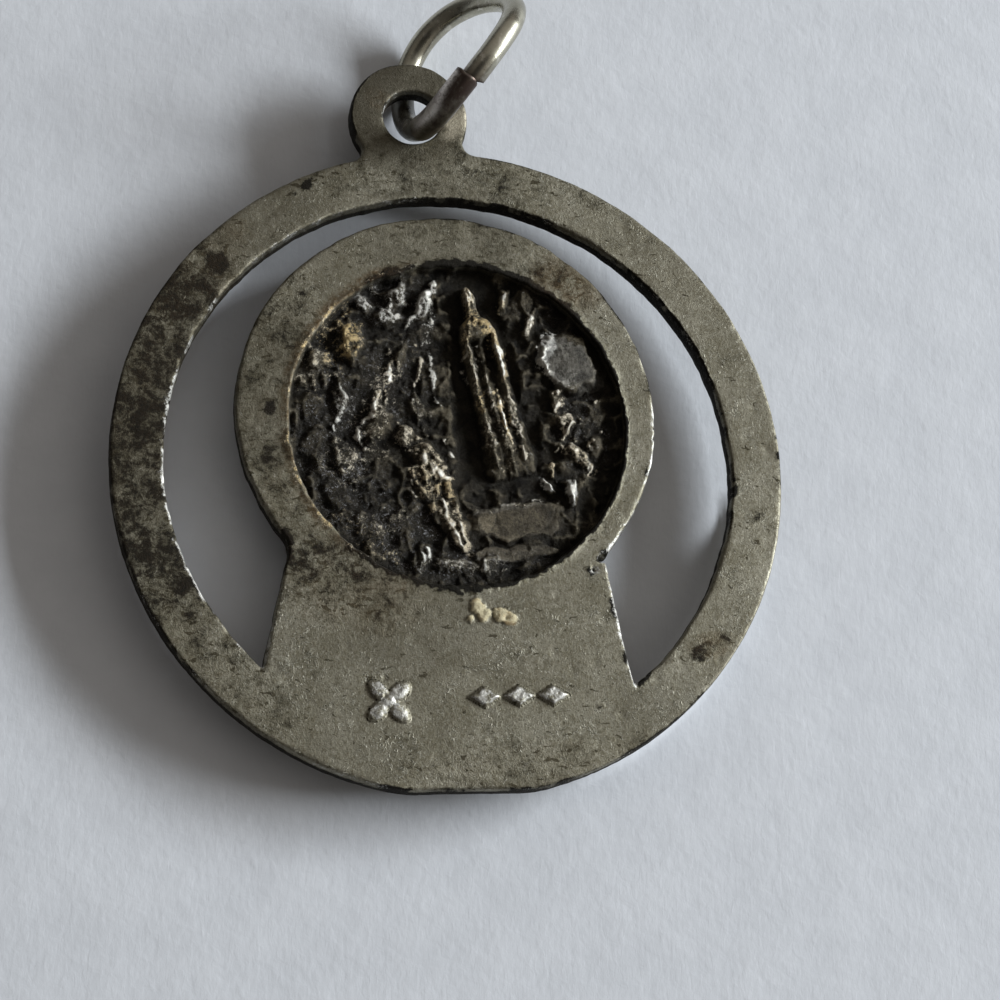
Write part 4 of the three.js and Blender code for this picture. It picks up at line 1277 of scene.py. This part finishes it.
class Shader:
    """The node tree of a material or of the world, with short names for making and joining its nodes."""

    def __init__(self, owner, coordinates="Object"):
        owner.use_nodes = True
        self.nodes = owner.node_tree.nodes
        self.links = owner.node_tree.links
        self.place = self.nodes.new("ShaderNodeTexCoord").outputs[coordinates]

    def put(self, socket, value):
        """Joins a node's output to the socket, or sets the socket to a number or a colour."""
        if isinstance(value, bpy.types.NodeSocket):
            self.links.new(value, socket)
        else:
            socket.default_value = (*value, 1) if isinstance(value, tuple) else value

    def finish(self, name, **values):
        """Joins the values to the inputs of the node of that name."""
        for key, value in values.items():
            self.put(self.nodes[name].inputs[key.replace("_", " ")], value)

    def attribute(self, name):
        node = self.nodes.new("ShaderNodeAttribute")
        node.attribute_name = name
        return node.outputs["Fac"]

    def noise(self, size, detail=3, roughness=0.6, stretch=(1, 1, 1), distortion=0.0):
        """Noise from about 0 to 1 with a grain of size millimetres, drawn out along an axis by stretch."""
        mapping = self.nodes.new("ShaderNodeMapping")
        mapping.inputs["Scale"].default_value = [1 / (size * MM * s) for s in stretch]
        self.links.new(self.place, mapping.inputs["Vector"])
        node = self.nodes.new("ShaderNodeTexNoise")
        values = {"Vector": mapping.outputs["Vector"], "Scale": 1}
        values.update({"Detail": detail, "Roughness": roughness, "Distortion": distortion})
        for key, value in values.items():
            self.put(node.inputs[key], value)
        return node.outputs["Fac"]

    def math(self, operation, a, b=0.0):
        node = self.nodes.new("ShaderNodeMath")
        node.operation = operation
        self.put(node.inputs[0], a)
        self.put(node.inputs[1], b)
        return node.outputs[0]

    def plus(self, a, b):
        return self.math("ADD", a, b)

    def minus(self, a, b):
        return self.math("SUBTRACT", a, b)

    def times(self, a, b):
        return self.math("MULTIPLY", a, b)

    def rest(self, a):
        """What is left of 1."""
        return self.minus(1.0, a)

    def line(self, value, width):
        """1 where the value is a half, down to 0 that far from it: a winding line."""
        return self.span(self.math("ABSOLUTE", self.minus(value, 0.5)), 0.0, width, 1.0, 0.0)

    def span(self, value, low, high, to_low=0.0, to_high=1.0):
        node = self.nodes.new("ShaderNodeMapRange")
        node.interpolation_type = "SMOOTHSTEP"
        for key, number in (("From Min", low), ("From Max", high), ("To Min", to_low), ("To Max", to_high)):
            node.inputs[key].default_value = number
        self.put(node.inputs["Value"], value)
        return node.outputs["Result"]

    def mix(self, share, a, b):
        """Between two colours."""
        node = self.nodes.new("ShaderNodeMix")
        node.data_type = "RGBA"
        for place, value in ((0, share), (6, a), (7, b)):
            self.put(node.inputs[place], value)
        return node.outputs[2]

    def blend(self, share, a, b):
        """Between two numbers."""
        node = self.nodes.new("ShaderNodeMix")
        for place, value in ((0, share), (2, a), (3, b)):
            self.put(node.inputs[place], value)
        return node.outputs[0]

    def bump(self, height, depth, under=None):
        """A bump of that depth in millimetres."""
        node = self.nodes.new("ShaderNodeBump")
        node.inputs["Distance"].default_value = depth * MM
        self.put(node.inputs["Height"], height)
        if under is not None:
            self.put(node.inputs["Normal"], under)
        return node.outputs["Normal"]


def medal_material():
    material = bpy.data.materials.new("medal_metal")
    s = Shader(material)
    wear_and_highlight, warm, dirt_and_shade, brown = map(s.attribute, ("wear_and_highlight", "warm", "dirt_and_shade", "brown"))
    crust, recess = map(s.attribute, ("crust", "recess"))
    hollow, grit, smooth, broad = map(s.attribute, ("hollow", "grit", "smooth", "broad"))
    shade, painted_reflection = map(s.attribute, ("shade", "painted_reflection"))

    cloudy = s.noise(1.8, 4)
    grain = s.noise(0.15, 5, 0.8)
    streak = s.noise(0.08, 3, 0.6, stretch=(1, 2.2, 1))
    speck = s.noise(0.06, 2, 0.5)
    fleck = s.noise(0.11, 4, 0.7, distortion=0.8)
    blotch = s.noise(0.55, 7, 0.78, distortion=0.4)
    patch = s.noise(1.1, 7, 0.75, distortion=0.6)
    winding = s.noise(0.8, 4, 0.6, distortion=1.2)
    curl = s.noise(0.42, 2, 0.5, distortion=1.6)
    dash = s.noise(0.26, 2, 0.5, stretch=(1.6, 0.8, 1), distortion=0.6)
    stain = s.noise(1.3, 5, 0.62, distortion=0.8)
    glitter = s.noise(0.12, 4, 0.75, distortion=1.5)

    # Plate: marks laid over the plain metal, and a painted reflection on the lug, each with the strength that
    # it has there
    crack = s.times(s.line(winding, 0.007), s.span(patch, 0.47, 0.55))
    dashed = s.span(s.plus(dash, s.times(dirt_and_shade, 0.16)), 0.67, 0.71)
    crease = s.times(s.line(curl, 0.035), s.span(s.plus(stain, fleck), 1.04, 1.14))
    crease = s.times(crease, s.rest(shade))
    plain = s.mix(s.span(cloudy, 0.3, 0.7), PEWTER_DARK, PEWTER_LIGHT)
    for amount, strength, colour in (
        (s.span(grain, 0.46, 0.62), 0.6, GRAIN_BROWN),
        (s.span(streak, 0.58, 0.7), 0.3, BARE_METAL),
        (s.span(fleck, 0.62, 0.72), 0.45, BARE_METAL),
        (s.span(speck, 0.64, 0.74), 0.8, SPECK_BLACK),
        (crack, 0.7, CRACK_BLACK),
        (dashed, 0.85, DASH_BLACK),
        (crease, 0.45, CREASE_GREY),
        (shade, 0.75, SHADE_OLIVE),
        (painted_reflection, 0.55, PAINTED_REFLECTION),
    ):
        plain = s.mix(s.times(amount, strength), plain, colour)

    # Stains: rust, a thin dark veil, then dirt that covers the metal and paints shade on the walls and dark
    # edges
    rusty = s.times(brown, s.span(s.plus(blotch, s.times(fleck, 0.4)), 0.5, 0.85))
    plain = s.mix(rusty, plain, RUST)
    veiled = s.plus(s.blend(0.6, stain, blotch), s.times(dirt_and_shade, 0.3))
    veiled = s.span(s.plus(veiled, s.times(grain, 0.15)), 0.58, 0.84)
    plain = s.mix(s.times(veiled, 0.88), plain, VEIL)
    dirt_and_shade_colour = s.mix(s.times(brown, s.span(fleck, 0.35, 0.6)), BLACK_DIRT_AND_SHADE, DIRT_BROWN)
    covered = s.plus(s.blend(0.7, stain, blotch), s.times(dirt_and_shade, 0.42))
    dirt_and_shade_cover = s.span(s.plus(covered, s.times(grain, 0.3)), 0.85, 0.96)
    colour = s.mix(dirt_and_shade_cover, plain, dirt_and_shade_colour)

    # Where the metal is rubbed bright, and where highlights are painted: broken up on rough places, even on
    # smooth forms
    silver = s.mix(warm, SILVER, GOLD)
    silver = s.mix(s.span(wear_and_highlight, 0.68, 0.95), silver, BRIGHT_METAL)
    coarse = s.times(s.minus(grain, 0.5), 1.3)
    sharp = s.times(s.minus(fleck, 0.5), 1.5)
    broken = s.times(s.plus(coarse, sharp), s.rest(s.times(smooth, 0.7)))
    rubbed_and_highlit = s.span(s.plus(wear_and_highlight, broken), 0.3, 0.66)
    rubbed_and_highlit = s.times(rubbed_and_highlit, s.span(wear_and_highlight, 0.04, 0.2))
    even = s.times(wear_and_highlight, s.span(s.plus(blotch, grain), 0.78, 1.22, 0.35, 1.2))
    rubbed_and_highlit = s.blend(s.span(smooth, 0.3, 0.8, 0.0, 0.85), rubbed_and_highlit, even)
    # Painted glints, in patches of the grit
    gritty = s.times(grit, s.span(blotch, 0.47, 0.62, 0.08, 1.0))
    glint = s.times(s.span(glitter, 0.54, 0.63), gritty)

    # Recess: blackened ground with paler faces and crests, and painted glints in the grit
    black = s.mix(s.span(blotch, 0.35, 0.7), RECESS_BLACK, RECESS_DARK)
    face = s.times(broad, s.span(s.plus(fleck, s.times(patch, 0.6)), 0.62, 0.95))
    face = s.times(face, s.rest(s.math("MAXIMUM", smooth, s.times(grit, 0.6))))
    black = s.mix(s.times(face, 0.7), black, STONE_FACE)
    black = s.mix(s.times(s.span(hollow, 0.55, 0.9), 0.4), black, STONE_CREST)
    black = s.mix(s.times(glint, 0.85), black, PAINTED_GLINT_GREY)
    colour = s.mix(recess, colour, black)
    colour = s.mix(rubbed_and_highlit, colour, silver)
    colour = s.mix(crust, colour, s.mix(s.span(blotch, 0.45, 0.65), CRUST_CREAM, CRUST_BROWN))

    metal = s.blend(s.times(dirt_and_shade_cover, s.rest(recess)), 0.92, 0.25)
    metal = s.blend(s.times(recess, s.rest(rubbed_and_highlit)), metal, 0.55)
    metal = s.blend(crust, metal, 0.0)
    rough = s.blend(dirt_and_shade_cover, s.span(grain, 0.3, 0.7, 0.44, 0.6), 0.75)
    rough = s.blend(recess, rough, s.span(speck, 0.35, 0.65, 0.32, 0.6))
    rough = s.blend(s.times(rubbed_and_highlit, 0.8), rough, s.span(fleck, 0.35, 0.65, 0.34, 0.58))
    rough = s.blend(crust, rough, 0.85)

    pitted = s.plus(s.blend(recess, 0.26, 1.0), s.times(dirt_and_shade, 0.5))
    roughened = s.times(pitted, s.rest(s.times(smooth, 0.45)))
    fine = s.bump(s.times(speck, roughened), 0.034)
    medium = s.bump(s.times(grain, roughened), 0.07, fine)
    lines = s.bump(crack, -0.012, s.bump(streak, 0.005, medium))
    lines = s.bump(s.times(crease, s.rest(recess)), 0.022, lines)
    s.finish("Principled BSDF", Base_Color=colour, Metallic=metal, Roughness=rough, Normal=lines)
    s.finish("Principled BSDF", Specular_IOR_Level=0.2)
    return material


def ring_path(angle, centre):
    """Centre line of the jump ring: angle 0 is its lowest point, and the far side is at a quarter turn."""
    cos_turn, sin_turn = math.cos(JUMP_RING_TURN), math.sin(JUMP_RING_TURN)
    cos_lean, sin_lean = math.cos(JUMP_RING_LEAN), math.sin(JUMP_RING_LEAN)
    along = np.array([cos_turn, sin_turn, 0])
    side = np.array([sin_turn, -cos_turn, 0])
    upward = np.array([0, 0, cos_lean]) + side * sin_lean
    axis = np.array([0, 0, -sin_lean]) + side * cos_lean
    angle = np.atleast_1d(angle)
    round_share = np.mod(angle - SPLIT_ANGLE, 2 * math.pi) / (2 * math.pi)
    out = SPLIT_SIDESTEP * round_share**2 - JUMP_RING_BOW * np.cos(2 * angle)
    out = out - JUMP_RING_TWIST * np.sin(2 * angle)
    return (
        centre
        + JUMP_RING_RADIUS * np.sin(angle)[:, None] * along
        - JUMP_RING_RADIUS * np.cos(angle)[:, None] * upward
        + out[:, None] * axis
    )


def ring_centre():
    """Seats the ring: its lowest point on the surface below, its near side through the lug's hole."""
    angles = np.radians(np.arange(-180, 181))
    path = ring_path(angles, np.zeros(3))
    centre = np.array([0, 0, WIRE_RADIUS - path[:, 2].min()])
    middle = (PLATE_BOTTOM + PLATE_TOP) / 2
    near = (angles < 0) & (angles > -math.pi / 2)
    crossing = path[near][np.argmin(np.abs(path[near][:, 2] + centre[2] - middle))]
    centre[0] = HOLE_X + HOLE_OFFSET_X - crossing[0]
    centre[1] = HOLE_Y + HOLE_OFFSET_Y - crossing[1]
    return centre


def ring_mesh():
    """The jump ring's wire with its two cut ends, and at each vertex how stained and how scratched it is."""
    steps, sides = WIRE_STEPS, WIRE_SIDES
    gap = SPLIT_GAP / JUMP_RING_RADIUS
    share = np.linspace(0, 1, steps)
    angles = SPLIT_ANGLE + gap / 2 + share * (2 * math.pi - gap)
    path = ring_path(angles, ring_centre())
    tangent = np.gradient(path, axis=0)
    tangent /= np.linalg.norm(tangent, axis=1)[:, None]
    across = np.cross(tangent, path - path.mean(0))
    across /= np.linalg.norm(across, axis=1)[:, None]
    out = np.cross(across, tangent)
    turn = np.linspace(0, 2 * math.pi, sides, endpoint=False)
    points, ends, scratches = [], [], []

    def add_row(k, shrink, shift):
        near_end = k < steps / 2
        from_end = min(k, steps - 1 - k) / steps * 2 * math.pi * JUMP_RING_RADIUS
        slant = SLANT_SHIFT * max(0.0, 1 - from_end / SLANT_FADE)
        above_plate = float(smooth_step(PLATE_TOP + 0.35, PLATE_TOP + 0.9, path[k][2]))
        thick = 1 + NEAR_THICKENING * above_plate * near_end
        rough = 1 + 0.012 * cell_noise(np.full(sides, share[k] * 40), turn * 1.3, 1.0, 171)
        jagged = slant * (np.cos(turn - SLANT_TURNS[near_end]) + 0.25 * np.sin(3 * turn))
        radius = WIRE_RADIUS * shrink * thick * rough
        facing = np.cos(turn)[:, None] * out[k] + np.sin(turn)[:, None] * across[k]
        points.append(path[k] + tangent[k] * (shift + jagged)[:, None] + radius[:, None] * facing)
        leftward = facing @ np.array(CAMERA_RIGHT) + 0.62 + 0.08 * math.sin(55 * share[k])
        streak = smooth_step(0.28, 0.06, np.abs(leftward)) * (facing[:, 2] > 0)
        scratches.append(streak * (0.004 < share[k] < 0.17))
        ends.append(np.full(sides, float(smooth_step(0.22, 0.1, share[k])) + math.exp((share[k] - 1) * 60)))

    add_row(0, 0.55, -0.035)
    add_row(0, 0.88, -0.02)
    for k in range(steps):
        add_row(k, 1, 0)
    add_row(steps - 1, 0.88, 0.02)
    add_row(steps - 1, 0.55, 0.035)
    rows = len(points)
    faces = []
    for row in range(rows - 1):
        for k in range(sides):
            after = (k + 1) % sides
            low, high = row * sides, (row + 1) * sides
            faces.append((low + k, low + after, high + after, high + k))
    faces.append(tuple(reversed(range(sides))))
    faces.append(tuple(range((rows - 1) * sides, rows * sides)))
    return np.vstack(points), faces, np.concatenate(ends), np.concatenate(scratches)


def wire_material():
    material = bpy.data.materials.new("ring_wire")
    s = Shader(material)
    near_split, dirt_and_shade, scratched = map(s.attribute, ("near_split", "dirt_and_shade", "scratched"))
    cloudy = s.noise(1.2, 4)
    scratch = s.noise(0.05, 3, 0.6, stretch=(6, 9, 9))
    speck = s.noise(0.09, 3, 0.6)
    stained = s.times(near_split, s.span(s.plus(cloudy, scratch), 0.85, 1.2, 1.0, 0.6))
    colour = s.mix(s.span(cloudy, 0.35, 0.65), WIRE_DARK, WIRE_LIGHT)
    colour = s.mix(s.times(s.span(scratch, 0.56, 0.7), 0.5), colour, WIRE_STREAK)
    colour = s.mix(s.times(s.span(speck, 0.64, 0.76), 0.7), colour, WIRE_SPECK)
    colour = s.mix(stained, colour, WIRE_STAIN)
    # Painted shade and tarnish where the wire runs under the lug
    colour = s.mix(dirt_and_shade, colour, WIRE_TARNISH_AND_SHADE)
    colour = s.mix(s.times(scratched, s.span(speck, 0.35, 0.55, 0.35, 0.9)), colour, WIRE_SCRATCH)
    rough = s.blend(stained, s.span(cloudy, 0.3, 0.7, 0.22, 0.34), 0.42)
    lines = s.bump(scratch, 0.004, s.bump(speck, 0.003))
    metallic = s.blend(dirt_and_shade, 0.97, 0.4)
    s.finish("Principled BSDF", Base_Color=colour, Metallic=metallic, Roughness=rough, Normal=lines)
    return material


def paper_material():
    material = bpy.data.materials.new("pale_surface")
    s = Shader(material)
    tooth = s.noise(0.45, 3, 0.5, distortion=0.4)
    broad = s.noise(2.4, 3)
    fibre = s.noise(0.17, 3, 0.6, stretch=(1, 3.5, 1), distortion=0.5)
    colour = s.mix(s.span(broad, 0.3, 0.7), PAPER_DARK, PAPER_LIGHT)
    lines = s.bump(fibre, 0.007, s.bump(tooth, 0.012, s.bump(broad, 0.045)))
    s.finish("Principled BSDF", Base_Color=colour, Roughness=0.85, Normal=lines)
    return material


def paper_height(x, y):
    """The sheet swells a little under the ring's left and lower right sides, and closes the gap there."""
    angle = np.mod(np.degrees(np.arctan2(y, x)), 360)
    from_middle = np.hypot(x, y) - (RING_RADIUS + INNER_RADIUS) / 2
    across = np.clip(1 - (from_middle / SWELL_HALF_WIDTH) ** 2, 0, 1)
    left = smooth_step(48, 30, np.abs(angle - 180))
    right = smooth_step(42, 14, np.abs(angle - 323))
    return (PLATE_BOTTOM - SHEET_GAP) * across * np.maximum(left, right)


def add_floor():
    """The pale sheet, fine under the medal and reaching far past it."""
    near = np.arange(-SHEET_NEAR, SHEET_NEAR + SHEET_STEP / 2, SHEET_STEP)
    line = np.concatenate([-np.array(SHEET_FAR[::-1]), near, SHEET_FAR])
    x, y = (grid.ravel() for grid in np.meshgrid(line, line, indexing="ij"))
    count = len(line)
    corner = (np.arange(count - 1)[:, None] * count + np.arange(count - 1)).ravel()
    faces = np.column_stack([corner, corner + count, corner + count + 1, corner + 1]).tolist()
    new_object("floor", np.column_stack([x, y, paper_height(x, y)]), faces, paper_material())


def add_light(name, azimuth, elevation, distance, width, height, power, colour):
    """A soft rectangle of light that looks at the medal, with azimuth 0 along +X and 90 along +Y."""
    light = bpy.data.objects.new(name, bpy.data.lights.new(name, "AREA"))
    bpy.context.scene.collection.objects.link(light)
    light.data.shape = "RECTANGLE"
    light.data.size = width * MM
    light.data.size_y = height * MM
    light.data.energy = power
    light.data.color = colour
    a, e = math.radians(azimuth), math.radians(elevation)
    direction = Vector((math.cos(a) * math.cos(e), math.sin(a) * math.cos(e), math.sin(e)))
    facing = direction.to_track_quat("Z", "Y").to_matrix().to_4x4()
    light.matrix_world = Matrix.Translation(direction * distance * MM) @ facing


def add_world():
    """A room that is lighter towards the window and dark around the camera, where its holder stands."""
    world = bpy.data.worlds.new("room")
    bpy.context.scene.world = world
    s = Shader(world, "Generated")

    def towards(direction, low, high, to_low, to_high):
        dot = s.nodes.new("ShaderNodeVectorMath")
        dot.operation = "DOT_PRODUCT"
        s.links.new(s.place, dot.inputs[0])
        dot.inputs[1].default_value = Vector(direction).normalized()
        return s.span(dot.outputs["Value"], low, high, to_low, to_high)

    window = towards((0.83, 0.32, 0.45), -0.9, 1.0, 0.08, 0.47)
    holder = towards(CAMERA_PLACE, 0.8, 0.97, 1.0, 0.15)
    horizon = towards((0, 0, 1), 0.05, 0.45, 0.15, 1.0)
    s.finish("Background", Color=ROOM, Strength=s.times(s.times(window, holder), horizon))


def add_camera():
    camera = bpy.data.objects.new("camera", bpy.data.cameras.new("camera"))
    bpy.context.scene.collection.objects.link(camera)
    right = Vector(CAMERA_RIGHT).normalized()
    back = right.cross(Vector(CAMERA_UP)).normalized()
    turn = Matrix((right, back.cross(right), back)).transposed().to_4x4()
    camera.matrix_world = Matrix.Translation(Vector(CAMERA_PLACE) * MM) @ turn
    camera.data.lens = CAMERA_LENS
    camera.data.sensor_width = SENSOR_WIDTH
    camera.data.clip_start = 0.001
    camera.data.clip_end = 10
    bpy.context.scene.camera = camera


def add_medal():
    points, faces = medal_mesh()
    medal = new_object("medal", points, faces, medal_material(), medal_attributes(points))
    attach(medal, "root")
    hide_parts("medal_body")


def add_jump_ring():
    points, faces, near_split, scratched = ring_mesh()
    # Painted shade, with some tarnish: the wire darkens where it runs under the lug and through its hole
    under = smooth_step(PLATE_TOP + 0.5, PLATE_TOP - 0.3, points[:, 2])
    dirt_and_shade = 0.85 * under * (np.hypot(points[:, 0] - HOLE_X, points[:, 1] - HOLE_Y) < LUG_RADIUS)
    values = {"near_split": near_split, "dirt_and_shade": dirt_and_shade, "scratched": scratched}
    wire = new_object("wire_ring", points, faces, wire_material(), values)
    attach(wire, "root")
    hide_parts("jump_ring")


bpy.context.scene.view_settings.view_transform = "Standard"
add_camera()
add_world()
add_light(
    "window", azimuth=12, elevation=23, distance=700,
    width=460, height=140, power=7.9, colour=(0.9, 0.95, 1.0),
)
add_floor()
add_medal()
add_jump_ring()
